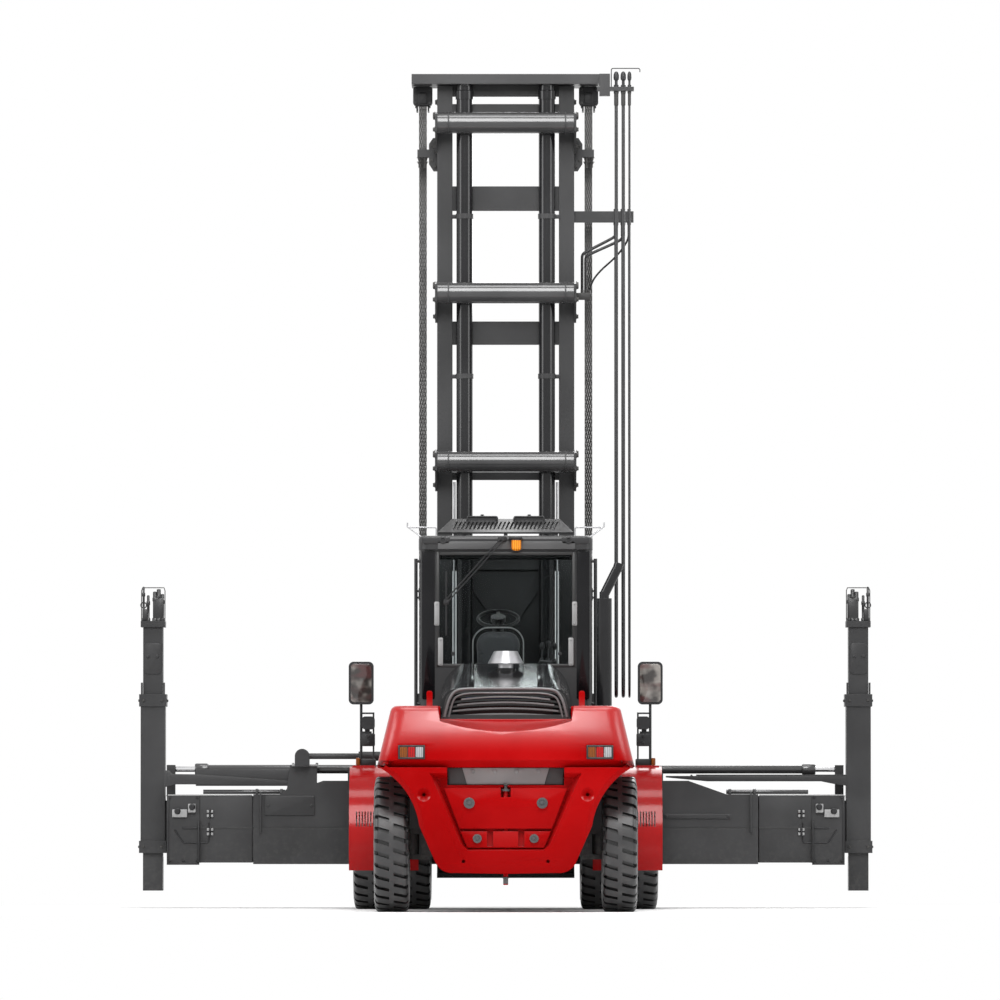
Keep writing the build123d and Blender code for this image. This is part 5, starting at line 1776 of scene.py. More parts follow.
@dataclass
class Cushion:
    """A padded piece, blown up from a slightly smaller form by a short cloth simulation."""

    name: str
    finish: Finish
    fill: float = 0.7
    voxel: float = 0.008
    pressure: float = 4.0
    limit: float = 0.022
    frames: int = 20

    def build(self, shape: Shape, body: str) -> None:
        """Makes the piece from its starting form.

        Args:
            shape: The starting form.
            body: The body that it rides on.
        """
        piece = shape.done(self.name, body, self.finish, 60.0)
        self.swell(piece)
        finer = piece.modifiers.new("finer", "SUBSURF")
        finer.levels = 1
        finer.render_levels = 1

    def baked(self, piece: bpy.types.Object) -> bpy.types.Mesh:
        """A mesh of a piece with its modifiers applied."""
        return bpy.data.meshes.new_from_object(piece.evaluated_get(bpy.context.evaluated_depsgraph_get()))

    def swell(self, piece: bpy.types.Object) -> None:
        """Remeshes a piece evenly, blows it up and holds every point within the limit.

        Args:
            piece: The piece.
        """
        remesh = piece.modifiers.new("remesh", "REMESH")
        remesh.mode = "VOXEL"
        remesh.voxel_size = self.voxel
        even = self.baked(piece)
        piece.modifiers.clear()
        piece.data = even
        start = [vert.co.copy() for vert in even.vertices]
        cloth = piece.modifiers.new("cloth", "CLOTH")
        cloth.settings.use_pressure = True
        cloth.settings.uniform_pressure_force = self.pressure
        cloth.settings.effector_weights.gravity = 0.0
        cloth.point_cache.frame_start = 1
        cloth.point_cache.frame_end = self.frames
        for frame in range(1, self.frames + 1):
            bpy.context.scene.frame_set(frame)
        swollen = self.baked(piece)
        piece.modifiers.clear()
        for vert, first in zip(swollen.vertices, start):
            move = vert.co - first
            if move.length > self.limit:
                vert.co = first + move.normalized() * self.limit
        swollen.polygons.foreach_set("use_smooth", [True] * len(swollen.polygons))
        piece.data = swollen
        bpy.context.scene.frame_set(1)


@dataclass
class SeatTrim:
    """The driver's seat on its sprung base, and the levers on the console beside it."""

    rear_y: float = CAB_REAR_Y
    floor_z: float = 1.120
    lean: float = -0.098

    def base(self) -> None:
        """Makes the plinth, the bellows and the pan that stand for the CAD seat."""
        shape = Shape()
        low, high = self.rear_y + 0.160, self.rear_y + 0.640
        shape.slab((-0.240, low, self.floor_z), (0.120, high, self.floor_z + 0.060), Axis.Z, 0.030, 0.006)
        for fold in range(6):
            inset = 0.020 + 0.016 * (fold % 2)
            z = self.floor_z + 0.058 + 0.048 * fold
            shape.slab(
                (-0.240 + inset, low + inset, z), (0.120 - inset, high - inset, z + 0.052), Axis.Z, 0.040, 0.018
            )
        shape.slab((-0.265, low, self.floor_z + 0.345), (0.145, high, self.floor_z + 0.384), Axis.Z, 0.050, 0.008)
        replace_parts(shape.done("seat_base", "chassis", Finish.PLASTIC, 35.0), "seat")

    def cushions(self) -> None:
        """Makes the seat and back cushions and the piping round them."""
        seat = Shape().slab(
            (-0.288, self.rear_y + 0.164, self.floor_z + 0.398), (0.168, self.rear_y + 0.656, self.floor_z + 0.500),
            Axis.Z, 0.080, 0.030,
        )
        Cushion("seat_cushion", Finish.SEAT_CLOTH).build(seat, "chassis")
        foot_z = self.floor_z + 0.520
        slant = Matrix(
            (
                (1.0, 0.0, 0.0, 0.0), (0.0, 1.0, self.lean, -self.lean * foot_z), (0.0, 0.0, 1.0, 0.0),
                (0.0, 0.0, 0.0, 1.0),
            )
        )
        middle = self.rear_y + 0.210
        back = Shape().slab(
            (-0.248, middle - 0.044, foot_z + 0.020),
            (0.128, middle + 0.044, 2.232), Axis.Y, 0.120, 0.030,
        )
        bmesh.ops.transform(back.mesh, matrix=slant, verts=back.mesh.verts[:])
        Cushion("seat_back_cushion", Finish.SEAT_CLOTH).build(back, "chassis")
        piping = Shape()
        arc = [math.radians(10.0 * step) for step in range(10)]
        for y in (middle - 0.056, middle + 0.056):
            left = [(-0.135 - 0.126 * math.cos(turn), y, 2.118 + 0.126 * math.sin(turn)) for turn in arc]
            right = [(0.015 + 0.126 * math.cos(turn), y, 2.118 + 0.126 * math.sin(turn)) for turn in reversed(arc)]
            piping.pipe([(-0.261, y, foot_z + 0.060), *left, *right, (0.141, y, foot_z + 0.060)], 0.005, 8, False)
        bmesh.ops.transform(piping.mesh, matrix=slant, verts=piping.mesh.verts[:])
        piping.done("seat_piping", "chassis", Finish.PIPING, 60.0)

    def levers(self) -> None:
        """Makes the levers, the arm pad and the switches on the console."""
        shape = Shape()
        for x, y, tall in ((0.285, 0.560, 0.150), (0.335, 0.580, 0.165), (0.385, 0.600, 0.150)):
            foot = (x, self.rear_y + y, 1.955)
            tip = (x + 0.006, self.rear_y + y + 0.020, 1.960 + tall)
            gaiter = [
                (0.0, 0.0), (0.0, 0.026), (0.014, 0.022), (0.020, 0.024), (0.034, 0.016), (0.040, 0.018),
                (0.056, 0.008), (0.056, 0.0),
            ]
            shape.turned(gaiter, foot, UP, 20)
            shape.rod(foot, tip, 0.006, sides=10)
            knob = [(-0.034, 0.0), (-0.034, 0.010), (-0.020, 0.019), (0.006, 0.021), (0.020, 0.014), (0.024, 0.0)]
            shape.turned(knob, tip, (0.0, 0.1, 1.0), 20)
        shape.slab((0.262, self.rear_y + 0.230, 1.956), (0.408, self.rear_y + 0.500, 1.985), Axis.Z, 0.050, 0.012)
        shape.done("console_levers", "chassis", Finish.PLASTIC, 35.0)

    def build(self) -> None:
        """Makes the seat and the levers."""
        self.base()
        self.cushions()
        self.levers()


@dataclass
class MirrorTrim:
    """Mirror glass, lamp lenses and side markers on the fenders."""

    x: float = 1.170
    y: float = FRONT_AXLE_Y + 0.030

    def build(self) -> None:
        """Makes the trim of both sides."""
        glass, lens, marker = Shape(), Shape(), Shape()
        rims = Shape()
        for side in SIDES:
            middle = side * self.x
            glass.slab(
                (middle - 0.084, self.y - 0.034, 1.672),
                (middle + 0.084, self.y - 0.028, 1.982), Axis.Y, 0.028, 0.002,
            )
            rims.slab(
                (middle - 0.030, self.y + 0.028, 1.790),
                (middle + 0.030, self.y + 0.052, 1.860), Axis.Y, 0.014, 0.005,
            )
            lens.slab(
                (side * 1.070, self.y + 0.058, 1.462),
                (side * 1.155, self.y + 0.066, 1.547), Axis.Y, 0.022, 0.003,
            )
            marker.slab(
                (side * 1.178, self.y - 0.052, 1.160),
                (side * 1.212, self.y - 0.012, 1.222), Axis.Y, 0.010, 0.004,
            )
            for low, high, bottom, top in ((1.058, 1.166, 1.316, 1.420), (1.050, 1.172, 1.156, 1.214)):
                rims.slab(
                    (side * low, self.y - 0.032, bottom),
                    (side * high, self.y + 0.030, top), Axis.Y, 0.012, 0.004,
                )
            for z in (1.345, 1.395):
                rims.bolt((side * 1.112, self.y - 0.032, z), REARWARD, 0.020, 0.010)
        glass.done("mirror_glass_pair", "chassis", Finish.MIRROR)
        rims.done("mirror_clamps", "chassis", Finish.PLASTIC)
        lens.done("fender_lamp_lenses", "chassis", Finish.LAMP_CLEAR)
        marker.done("fender_markers", "chassis", Finish.LAMP_AMBER)


@dataclass
class MastTrim:
    """Pipes, fittings, clamps and bolts of the mast."""

    rail_x: float = 0.557
    rail_rear_y: float = FRONT_AXLE_Y + 0.240
    tube_y: float = FRONT_AXLE_Y + 0.022
    tube_levels: tuple[float, ...] = (3.620, 4.990, 6.370)
    lift_x: float = 0.334
    lift_y: float = FRONT_AXLE_Y + 0.185

    def pipes(self) -> None:
        """Makes the rigid lift lines between the hose bracket and the mast, and their fittings."""
        y = HOSE_Y
        lines = Shape()
        for x, foot, shift in zip(HOSE_XS, (0.622, 0.650), (0.0, -0.020)):
            lines.pipe(
                [
                    (x, y, 5.585), (x, y, 5.520), (x, y, 5.470 + shift), (x - 0.050, y, 5.470 + shift - 0.030),
                    (foot + 0.040, y, 5.345 + shift), (foot, y, 5.320 + shift), (foot, y, 5.270 + shift),
                    (foot, y, 4.985),
                ],
                0.012, 14,
            )
        thin = (
            (1.004, 5.585), (1.004, 5.50), (0.990, 5.42), (0.900, 5.30), (0.760, 5.18), (0.690, 5.08), (0.674, 4.985),
        )
        lines.pipe([(x, y, z) for x, z in thin], 0.008, 12)
        lines.done("lift_lines", "outer_mast", Finish.GLOSS_BLACK, 60.0)
        block = Shape()
        block.box((self.rail_x - 0.004, y - 0.030, 4.950), (0.690, y + 0.030, 5.006), 0.006)
        for x in (0.622, 0.650, 0.674):
            block.rod((x, y, 5.004), (x, y, 5.030), 0.015, sides=6)
        for x, radius in zip(HOSE_XS, (0.022, 0.022, 0.016)):
            block.rod((x, y, 5.668), (x, y, 5.690), radius, sides=6)
            block.rod((x, y, 5.558), (x, y, 5.582), radius, sides=6)
        block.done("lift_line_fittings", "outer_mast", Finish.IRON)

    def crown(self) -> None:
        """Makes the hose elbows above the mast's top arm and the sheave housings."""
        y = FRONT_AXLE_Y + 0.055
        shape = Shape()
        for x, radius in zip(HOSE_XS, (0.020, 0.020, 0.015)):
            profile = [
                (0.0, 0.0), (0.0, radius), (0.016, radius), (0.020, radius * 0.62), (0.052, radius * 0.62),
                (0.060, radius * 1.02), (0.076, radius * 1.14), (0.100, radius * 1.10), (0.118, radius * 0.80),
                (0.126, radius * 0.40), (0.128, 0.0),
            ]
            shape.turned(profile, (x, y, 6.663), UP, 20)
        guard = ((0.857, 6.664), (0.857, 6.806), (0.866, 6.815), (1.080, 6.815), (1.089, 6.806), (1.089, 6.785))
        shape.pipe([(x, y, z) for x, z in guard], 0.004, 8, False)
        shape.done("hose_elbows", "inner_mast", Finish.PLASTIC)
        housing = Shape()
        back = SHEAVE_Y - 0.136
        for side in SIDES:
            housing.slab((side * 0.596, back, 6.535), (side * 0.754, back + 0.014, 6.689), Axis.Y, 0.022, 0.004)
            housing.slab(
                (side * 0.640, back - 0.010, 6.548),
                (side * 0.710, back + 0.002, 6.640), Axis.Y, 0.014, 0.004,
            )
            for x in (0.614, 0.736):
                for z in (6.555, 6.665):
                    housing.bolt((side * x, back, z), REARWARD, 0.022, 0.010)
        housing.done("sheave_housings", "inner_mast", Finish.PLASTIC)

    def clamps(self) -> None:
        """Makes the clamps, rod collars and feed lines of the lift cylinders."""
        lift = self.lift_y
        rings = Shape()
        for side in SIDES:
            x = side * self.lift_x
            for z in (1.300, 2.900, 4.300, 5.600):
                band = [(0.0, 0.0655), (0.0, 0.0720), (0.040, 0.0720), (0.040, 0.0655)]
                rings.turned(band, (x, lift, z), UP, 36)
                rings.box(
                    (x + side * 0.060, lift + 0.020, z + 0.004),
                    (side * 0.440, self.rail_rear_y + 0.012, z + 0.036), 0.004,
                )
        rings.done("lift_clamps", "outer_mast", Finish.DARK_GREY)
        collars = Shape()
        for side in SIDES:
            profile = [(0.0, 0.0), (0.0, 0.062), (0.004, 0.066), (0.046, 0.066), (0.049, 0.0)]
            collars.turned(profile, (side * self.lift_x, lift, 6.6405), UP, 40)
        collars.done("lift_rod_collars", "inner_mast", Finish.GLOSS_BLACK)
        lines = Shape()
        for side in SIDES:
            x = side * (self.lift_x + 0.083)
            lines.pipe([(x, lift - 0.018, z) for z in (0.36, 3.20, 3.46)], 0.010, 10)
        lines.done("lift_feed_lines", "outer_mast", Finish.STEEL, 60.0)

    def bolts(self) -> None:
        """Makes the bolts on the gussets, pads and chain anchors."""
        shape = Shape()
        pattern = Shape().bolt((0.0, 0.0, 0.0), RIGHTWARD, 0.034, 0.018)
        places = []
        for side in SIDES:
            turn = Matrix.Identity(4) if side > 0.0 else Matrix.Rotation(math.pi, 4, "Z")
            for level in self.tube_levels:
                for y, z in ((0.0, 0.055), (0.0, -0.055), (0.110, 0.075), (0.270, -0.180), (0.270, 0.060)):
                    places.append(Matrix.Translation((side * 0.573, self.tube_y - 0.020 + y, level + z)) @ turn)
            for z in (6.440, 6.560):
                for y in (0.075, 0.150):
                    places.append(Matrix.Translation((side * 0.557, self.rail_rear_y + y, z)) @ turn)
        shape.stamp(pattern, places)
        pattern.mesh.free()
        for side in SIDES:
            for x, z in ((0.573, 6.036), (0.603, 6.086), (0.576, 6.240), (0.605, 6.206)):
                shape.bolt((side * x, FRONT_AXLE_Y + 0.370, z), REARWARD, 0.022, 0.012)
        shape.done("mast_bolts", "outer_mast", Finish.IRON)
        pins = Shape()
        for side in SIDES:
            for edge in (-1.0, 1.0):
                x = side * CHAIN_X + edge * 0.053
                flange = [
                    (0.0, 0.0), (0.0, 0.040), (0.008, 0.040), (0.010, 0.034), (0.010, 0.018), (0.018, 0.018),
                    (0.018, 0.0),
                ]
                pins.turned(flange, (x, SHEAVE_Y, SHEAVE_Z), (edge, 0.0, 0.0), 24)
        pins.done("sheave_pins", "inner_mast", Finish.IRON)

    def tubes(self) -> None:
        """Makes the smooth skins of the cross tubes and the flange rings near their ends."""
        skin = Shape()
        rings = Shape()
        for level in self.tube_levels:
            profile = [(-0.552, 0.0848), (-0.552, 0.0860), (0.552, 0.0860), (0.552, 0.0848)]
            skin.turned(profile, (0.0, self.tube_y, level), RIGHTWARD, 64)
            for x in (-0.464, 0.485):
                ring = [(-0.006, 0.085), (-0.006, 0.089), (0.006, 0.089), (0.006, 0.085)]
                rings.turned(ring, (x, self.tube_y, level), RIGHTWARD, 64)
        skin.done("cross_tube_skins", "outer_mast", Finish.TUBE, 40.0)
        rings.done("cross_tube_rings", "outer_mast", Finish.DARK_GREY)

    def build(self) -> None:
        """Makes the whole trim."""
        self.tubes()
        self.pipes()
        self.crown()
        self.clamps()
        self.bolts()


@dataclass
class SpreaderTrim:
    """Housings, control boxes, telescopes, rails, leg gear and bolts of the spreader."""

    rear_y: float = FRONT_AXLE_Y + 0.740
    beam_y: float = FRONT_AXLE_Y + 0.720
    post_x: float = 2.890
    post_y: float = FRONT_AXLE_Y + 1.150
    telescope_y: tuple[float, float] = (FRONT_AXLE_Y + 0.877, FRONT_AXLE_Y + 1.173)
    telescope_z: float = 1.135

    def boxes(self, side: float, name: str) -> None:
        """Makes the control boxes and connectors on one arm's end box, and a pale strip along its top edge that is a
        painted highlight.

        Args:
            side: Which side, -1 or 1.
            name: The side's name.
        """
        body = f"arm_{name}"
        y = self.rear_y

        pale, dark = Shape(), Shape()
        knob = [(0.0, 0.0), (0.0, 0.026), (0.008, 0.026), (0.012, 0.020), (0.020, 0.018), (0.022, 0.0)]
        for low, high, bottom, top, thick, seat in (
            (2.600, 2.722, 0.742, 0.806, 0.022, (2.678, 0.792)), (2.530, 2.592, 0.780, 0.852, 0.030, (2.558, 0.826)),
        ):
            pale.slab((side * low, y - thick, bottom), (side * high, y + 0.002, top), Axis.Y, 0.006, 0.004)
            dark.turned(knob, (side * seat[0], y - thick, seat[1]), REARWARD, 24)
        for z in (0.772, 0.624):
            for across in (-0.017, 0.017):
                for up in (-0.018, 0.018):
                    pale.box(
                        (side * (2.404 + across), y - 0.012, z + up - 0.011),
                        (side * (2.422 + across), y + 0.002, z + up + 0.011), 0.003,
                    )
            ends = [(side * 2.413, y - 0.008, z + up) for up in (-0.034, 0.034)]
            dark.rod(*ends, 0.008, sides=16, round_edge=0.002)
        # Painted highlight: a pale strip along the top edge of the end box, for the light catching that edge.
        pale.box((side * 2.068, y - 0.004, 0.918), (side * 2.758, y + 0.020, 0.928), 0.003)
        pale.done(f"arm_boxes_{name}", body, Finish.BRIGHT)
        for low, high, bottom, top, thick in (
            (2.499, 2.513, 0.374, 0.710, 0.030), (2.515, 2.640, 0.646, 0.662, 0.006),
            (2.500, 2.766, 0.354, 0.372, 0.014), (2.748, 2.766, 0.372, 0.918, 0.008),
        ):
            dark.box((side * low, y - thick, bottom), (side * high, y + 0.004, top), 0.002)
        cable = ((2.424, 0.700), (2.424, 0.535), (2.630, 0.535), (2.700, 0.640))
        dark.pipe([(side * x, y - 0.003, z) for x, z in cable], 0.006, 8, False)
        for x, z in ((2.518, 0.902), (2.742, 0.902), (2.518, 0.388), (2.742, 0.388), (2.630, 0.388)):
            dark.bolt((side * x, y, z), REARWARD, 0.018, 0.009)
        dark.done(f"arm_gear_{name}", body, Finish.PLASTIC)

    def housing(self, side: float, name: str) -> None:
        """Makes one arm's end housing with its seam, the telescope rod and the rail over the arm.

        Args:
            side: Which side, -1 or 1.
            name: The side's name.
        """
        body = f"arm_{name}"
        y = self.rear_y
        left, right = side * 2.066, side * 2.501
        Shape().box((left, y, 0.372), (right, y + 0.566, 0.918), 0.005).done(
            f"arm_housing_{name}", body, Finish.DARK_GREY
        )
        dark_line = Shape()
        dark_line.box((left, y - 0.0015, 0.647), (right, y + 0.003, 0.663))
        dark_line.box((side * 2.494, y - 0.0015, 0.374), (side * 2.499, y + 0.003, 0.916))
        dark_line.done(f"arm_seams_{name}", body, Finish.MATT_BLACK_AND_SHADE)
        line = self.telescope_y[0 if side < 0.0 else 1]
        ends = [(side * x, line, self.telescope_z) for x in (2.700, -0.672)]
        rod = Shape().rod(*ends, 0.02215, sides=32, round_edge=0.002)
        rod.done(f"telescope_rod_{name}", body, Finish.CHROME)
        rail = Shape()
        if side < 0.0:
            rail.box((-2.530, y + 0.020, 0.998), (-1.680, y + 0.095, 1.132), 0.004)
            outline = (
                (-2.790, 1.125), (-2.750, 1.125), (-2.720, 1.095), (-2.530, 1.093), (-1.700, 1.035), (-1.700, 1.000),
                (-2.550, 1.010), (-2.700, 1.010), (-2.790, 0.985),
            )
            rail.prism([(x, y + 0.005, z) for x, z in outline], (0.0, 0.015, 0.0), 0.002)
            rail.box((-2.790, y + 0.004, 1.000), (-2.762, y + 0.290, 1.115), 0.004)
        else:
            outline = (
                (1.310, 1.068), (1.310, 1.081), (2.790, 1.081), (2.790, 1.000), (2.700, 1.012), (2.580, 1.036),
                (1.650, 1.036),
            )
            rail.prism([(x, y + 0.222, z) for x, z in outline], (0.0, 0.017, 0.0), 0.002)
            for x in (1.520, 1.860, 2.300, 2.560):
                rail.bolt((x, y + 0.230, 1.081), UP, 0.016, 0.010)
        rail.done(f"arm_rail_{name}", body, Finish.DARK_GREY)

    def post(self, side: float, name: str) -> None:
        """Makes the bolts on one sleeve and the plates and gear on its leg.

        Args:
            side: Which side, -1 or 1.
            name: The side's name.
        """
        post = self.post_x
        y = self.post_y - 0.142
        bolts = Shape()
        for x in (-0.075, 0.075):
            for z in (1.698, 0.500):
                bolts.bolt((side * (post + x), y, z), REARWARD, 0.018, 0.008)
        for x in (-0.112, 0.112):
            for z in (1.698, 0.500):
                for shift in (-0.070, 0.070):
                    bolts.bolt((side * (post + x), self.post_y + shift, z), (side * x, 0.0, 0.0), 0.020, 0.009)
        bolts.done(f"sleeve_bolts_{name}", f"arm_{name}", Finish.IRON)
        leg = Shape()
        face = self.post_y - 0.1105
        leg.slab(
            (side * (post - 0.070), face - 0.007, 1.915),
            (side * (post + 0.072), face + 0.002, 2.170), Axis.Y, 0.030, 0.002,
        )
        for x in (-0.035, 0.040):
            leg.bolt((side * (post + x), face - 0.007, 2.060), REARWARD, 0.022, 0.010)
        leg.done(f"leg_plate_{name}", f"leg_{name}", Finish.DARK_GREY)
        gear = Shape()
        top = 2.350
        back = self.post_y - 0.070
        for low, high, tall in ((-0.086, -0.002, 0.190), (0.044, 0.088, 0.100)):
            gear.box((side * (post + low), back - 0.020, top), (side * (post + high), back + 0.050, top + tall), 0.006)
        for offset, radius, tip in (
            (-0.076, 0.013, 2.570), (-0.046, 0.016, 2.610), (-0.014, 0.015, 2.590), (0.040, 0.010, 2.560),
            (0.078, 0.008, 2.630),
        ):
            wide = radius + 0.0015
            tall = tip - top
            profile = [
                (0.0, 0.0), (0.0, wide + 0.006), (0.022, wide + 0.006), (0.026, wide), (tall - 0.080, wide),
                (tall - 0.076, wide + 0.004), (tall - 0.050, wide + 0.004), (tall - 0.046, wide), (tall - 0.006, wide),
                (tall + 0.002, wide * 0.5), (tall + 0.002, 0.0),
            ]
            gear.turned(profile, (side * (post + offset), back, top), UP, 20)
        ring = [(-0.006, 0.018), (-0.006, 0.028), (0.006, 0.028), (0.006, 0.018)]
        gear.turned(ring, (side * (post + 0.078), back, 2.480), REARWARD, 24)
        gear.done(f"leg_lines_{name}", f"leg_{name}", Finish.HOSE_RUBBER, 60.0)
        hoop = ((0.096, 0.0), (0.096, 0.274), (-0.096, 0.274), (-0.096, 0.0))
        wire = Shape()
        wire.pipe([(side * (post + x), back + 0.03, top + up) for x, up in hoop], 0.004, 8, False)
        wire.done(f"leg_guard_{name}", f"leg_{name}", Finish.IRON, 40.0)

    def beam(self) -> None:
        """Makes the main beam's cover plates, guide rods and telescope barrels, a pale plate on the lug that is a
        painted highlight, and a black strip in the beam's groove that is painted shade.
        """
        y = self.beam_y
        plates = Shape()
        for low, high, bottom, top in ((-1.965, -1.560, 0.757, 0.918), (1.290, 1.840, 0.730, 0.770)):
            plates.slab((low, y - 0.010, bottom), (high, y + 0.002, top), Axis.Y, 0.014, 0.003)
            for x in (low + 0.024, high - 0.024):
                plates.bolt((x, y - 0.010, (bottom + top) / 2.0), REARWARD, 0.018, 0.008)
        for side in SIDES:
            plates.box((side * 1.992, y - 0.028, 0.615), (side * 2.008, y + 0.004, 0.950), 0.003)
        plates.done("beam_plates", "spreader", Finish.DARK_GREY)
        rods = Shape()
        for side in SIDES:
            line = y + 0.060
            rods.rod((side * 1.800, line, 0.950), (side * 2.470, line, 0.950), 0.018, sides=24, round_edge=0.003)
            for x in (1.830, 2.030):
                rods.box((side * (x - 0.012), line - 0.026, 0.926), (side * (x + 0.012), line + 0.026, 0.974), 0.004)
        gland = [
            (0.0, 0.0235), (0.0, 0.044), (0.012, 0.048), (0.098, 0.048), (0.110, 0.042), (0.110, 0.0235), (0.0, 0.0235),
        ]
        ends = Shape()
        for side, line in zip(SIDES, self.telescope_y):
            barrel = [(side * x, line, self.telescope_z) for x in (-0.715, 2.438)]
            rods.rod(*barrel, 0.0354, sides=40, round_edge=0.003)
            rods.turned(gland, (side * 2.430, line, self.telescope_z), (side, 0.0, 0.0), 36)
        rods.done("guide_rods", "spreader", Finish.TUBE)
        # Painted highlight: a pale plate on the lug's top, for the light along its top edge.
        ends.box((-1.745, y - 0.022, 1.158), (-1.530, y + 0.070, 1.174), 0.004)
        for x in (-1.735, -1.540):
            ends.bolt((x, y + 0.010, 1.174), UP, 0.022, 0.012)
        ends.done("lug_flange_highlight", "spreader", Finish.BRIGHT)
        # Painted shade: a black strip in the beam's groove, for the shade inside it.
        dark_line = Shape().box((-2.055, y + 0.002, 0.646), (2.055, y + 0.007, 0.664))
        dark_line.done("beam_groove_shade", "spreader", Finish.MATT_BLACK_AND_SHADE)

    def build(self) -> None:
        """Makes the trim of the beam and of both arms and legs."""
        self.beam()
        for side, name in NAMED_SIDES:
            self.boxes(side, name)
            self.housing(side, name)
            self.post(side, name)


@dataclass
class Studio:
    """The pale floor, the soft lights and the camera at the photograph's angle."""

    camera_back: float = 83.0
    camera_z: float = 0.63
    scale_px: float = 128.0
    axis_px: float = 505.7
    horizon_px: float = 831.0
    image_px: float = 1000.0
    sensor: float = 36.0
    clear_span: tuple[float, float] = (3.0, 7.0)

    def floor(self) -> None:
        """Lays the floor."""
        shape = bmesh.new()
        bmesh.ops.create_grid(shape, x_segments=2, y_segments=2, size=24.0)
        data = bpy.data.meshes.new("floor")
        shape.to_mesh(data)
        shape.free()
        piece = linked("floor", data)
        graph = Graph("pale_floor")
        speck = graph.noise(3.0, 4.0)
        base = graph.mix(speck.within(0.3, 0.7) * 0.5, (0.90, 0.90, 0.90), (0.86, 0.86, 0.86))
        sockets = {"Base Color": base, "Roughness": speck * 0.1 + 0.75, "Specular IOR Level": 0.1}
        matt = graph.node("BsdfPrincipled", {}, sockets)
        glow = graph.node("Emission", {}, {"Color": (1.0, 1.0, 1.0), "Strength": 1.0})
        away = graph.node("VectorMath", {"operation": "LENGTH"}, {0: graph.place}, "Value")
        seen = graph.direct() * away.within(*self.clear_span)
        data.materials.append(graph.end(graph.node("MixShader", {}, {0: seen, 1: matt, 2: glow})))

    def lamp(self, name: str, place: Point, target: Point, size: tuple[float, float], watts: float) -> None:
        """Hangs one soft lamp.

        Args:
            name: Its name.
            place: Where it hangs.
            target: What it looks at.
            size: Its width and height.
            watts: Its power.
        """
        data = bpy.data.lights.new(name, "AREA")
        data.shape = "RECTANGLE"
        data.size, data.size_y = size
        data.energy = watts
        lamp = linked(name, data)
        aim = Vector(target) - Vector(place)
        lamp.matrix_world = Matrix.Translation(Vector(place)) @ aim.to_track_quat("-Z", "Y").to_matrix().to_4x4()

    def world(self, sky: float) -> None:
        """Sets the sky: white to the camera, to gloss and to glass, and softer as light.

        Args:
            sky: The sky's strength as light.
        """
        graph = Graph("studio", world=True)
        lights = [
            graph.node("Background", {}, {"Color": (1.0, 1.0, 1.0), "Strength": strength})
            for strength in (sky, 1.0)
        ]
        mixed = graph.node("MixShader", {}, {0: graph.direct(), 1: lights[0], 2: lights[1]})
        bpy.context.scene.world = graph.end(mixed)

    def camera(self) -> None:
        """Stands the camera far behind the machine, as in the photograph."""
        focal = self.scale_px * self.camera_back
        data = bpy.data.cameras.new("photo_camera")
        data.sensor_width = self.sensor
        data.sensor_fit = "HORIZONTAL"
        data.lens = focal * self.sensor / self.image_px
        data.clip_start = 1.0
        data.clip_end = 400.0
        camera = linked("photo_camera", data)
        middle = self.image_px / 2.0
        pitch = math.atan2(self.horizon_px - middle, focal)
        pan = math.atan2(self.axis_px - middle, focal)
        turn = Matrix.Rotation(pan, 4, "Z") @ Matrix.Rotation(math.pi / 2.0 + pitch, 4, "X")
        camera.matrix_world = Matrix.Translation((0.0, REAR_AXLE_Y - self.camera_back, self.camera_z)) @ turn
        bpy.context.scene.camera = camera

    def build(self) -> None:
        """Sets up the whole studio."""
        bpy.context.scene.view_settings.view_transform = "Standard"
        self.floor()
        self.world(0.40)
        self.lamp("softbox", (0.0, -11.5, 13.0), (0.0, 0.0, 3.5), (6.0, 9.0), 2100.0)
        self.lamp("left", (-12.0, -5.0, 7.0), (0.0, 0.0, 2.5), (5.0, 7.0), 600.0)
        self.lamp("right", (12.0, -5.0, 7.0), (0.0, 0.0, 2.5), (5.0, 7.0), 500.0)
        self.lamp("front", (3.0, 12.0, 9.0), (0.0, 1.0, 3.0), (8.0, 8.0), 900.0)
        self.lamp("overhead", (0.0, -1.5, 14.0), (0.0, 0.2, 3.0), (10.0, 3.0), 700.0)
        self.camera()


NODE_FINISHES: dict[str, Finish] = {
    # The radiator gets the darkened red that paints shade behind the grille. The grille gets matt black.
    "lift_barrels": Finish.GLOSS_BLACK, "radiator": Finish.SHADE_RED, "grille": Finish.MATT_BLACK_AND_SHADE,
}


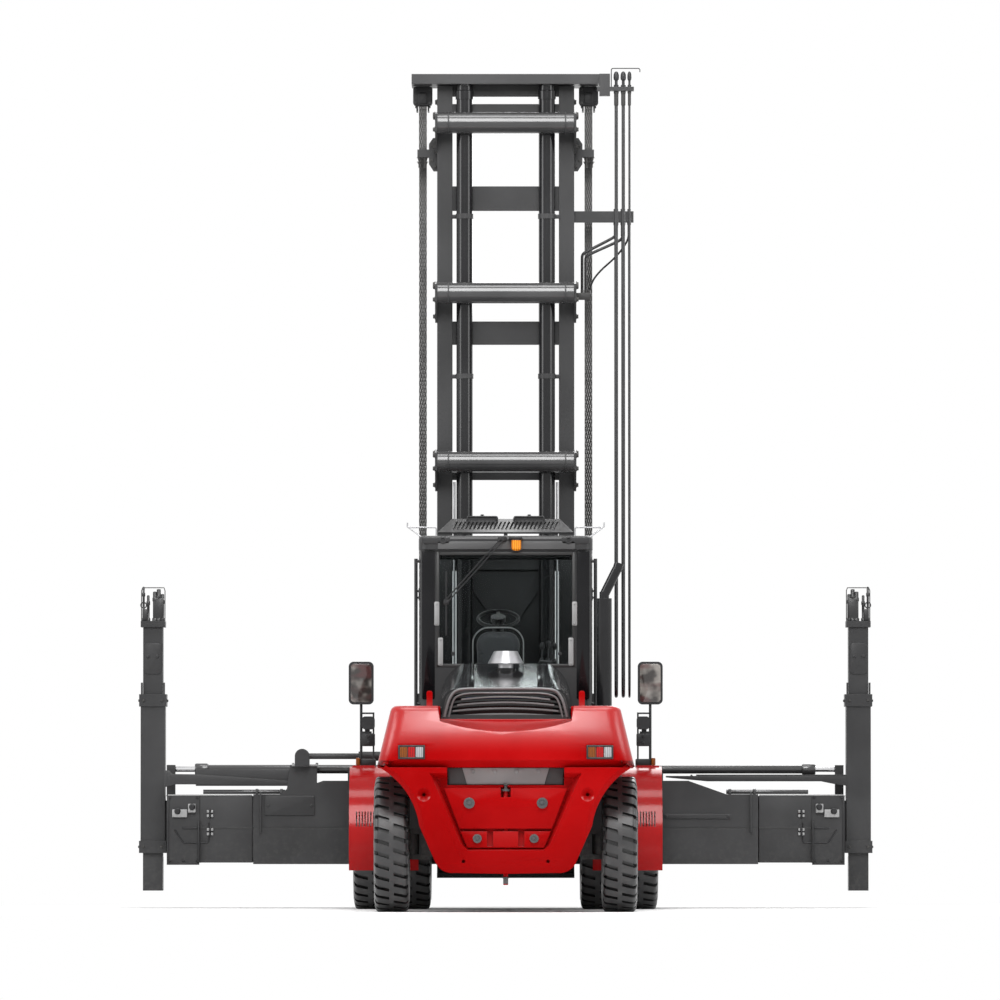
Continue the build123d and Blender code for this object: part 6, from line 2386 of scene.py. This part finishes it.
def dress_nodes(frame: dict[str, Any]) -> None:
    """Gives each CAD node the finish that its record slot names.
    """
    by_name = {finish.value.name: finish for finish in Finish}
    for part in frame["record"]["subparts"]:
        piece = frame["nodes"][part["node"]]
        finish = NODE_FINISHES.get(part["node"], by_name[part["material_slot"]])
        piece.data.materials.clear()
        piece.data.materials.append(material(finish))


def main() -> None:
    """Loads the frame and builds every sub-assembly in order."""
    logging.basicConfig(level=logging.INFO, format="%(message)s")
    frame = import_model()
    dress_nodes(frame)
    Studio().build()
    HoseRun().build()
    for side, name in NAMED_SIDES:
        single = ((side * STEER_X, REAR_AXLE_Y),)
        Tyre(f"steer_tread_{name}", f"steer_wheel_{name}", f"steer_tyre_{name}", single).build()
        pair = tuple((side * x, FRONT_AXLE_Y) for x in TWIN_X)
        Tyre(f"drive_treads_{name}", f"drive_wheel_{name}", f"drive_tyres_{name}", pair).build()
    WheelHardware().build()
    LeafChain().build()
    RoundedCopy("counterweight_upper", "chassis", Finish.CAST_RED, 0.012).build(
        frame, 0.055, lambda one, two: max(one.z, two.z) < 1.126 and max(one.y, two.y) < REAR_END_Y + 0.30,
        crown=Crown(1.320, 0.75, tuple(1.16 + 0.03 * step for step in range(15)), REAR_END_Y + 0.32),
    )
    RoundedCopy("counterweight_lower", "chassis", Finish.CAST_RED, 0.012).build(
        frame, 0.040, lambda one, two: min(abs(one.x), abs(two.x)) > 0.55 and max(one.y, two.y) < REAR_END_Y + 0.125
        and min(one.z, two.z) > 0.34
    )
    for low, high, name in ((-2.781, -2.599, "left"), (2.599, 2.781, "right")):
        stand = ((low, FRONT_AXLE_Y + 0.979, 0.9205), (high, FRONT_AXLE_Y + 1.071, 1.0495))
        RoundedCopy(f"arm_{name}", f"arm_{name}", Finish.DARK_GREY, 0.0).build(frame, without=stand)
    CounterweightTrim().build()
    HoodTrim().build()
    CabTrim().build()
    SeatTrim().build()
    MirrorTrim().build()
    MastTrim().build()
    SpreaderTrim().build()


if __name__ == "__main__":
    main()
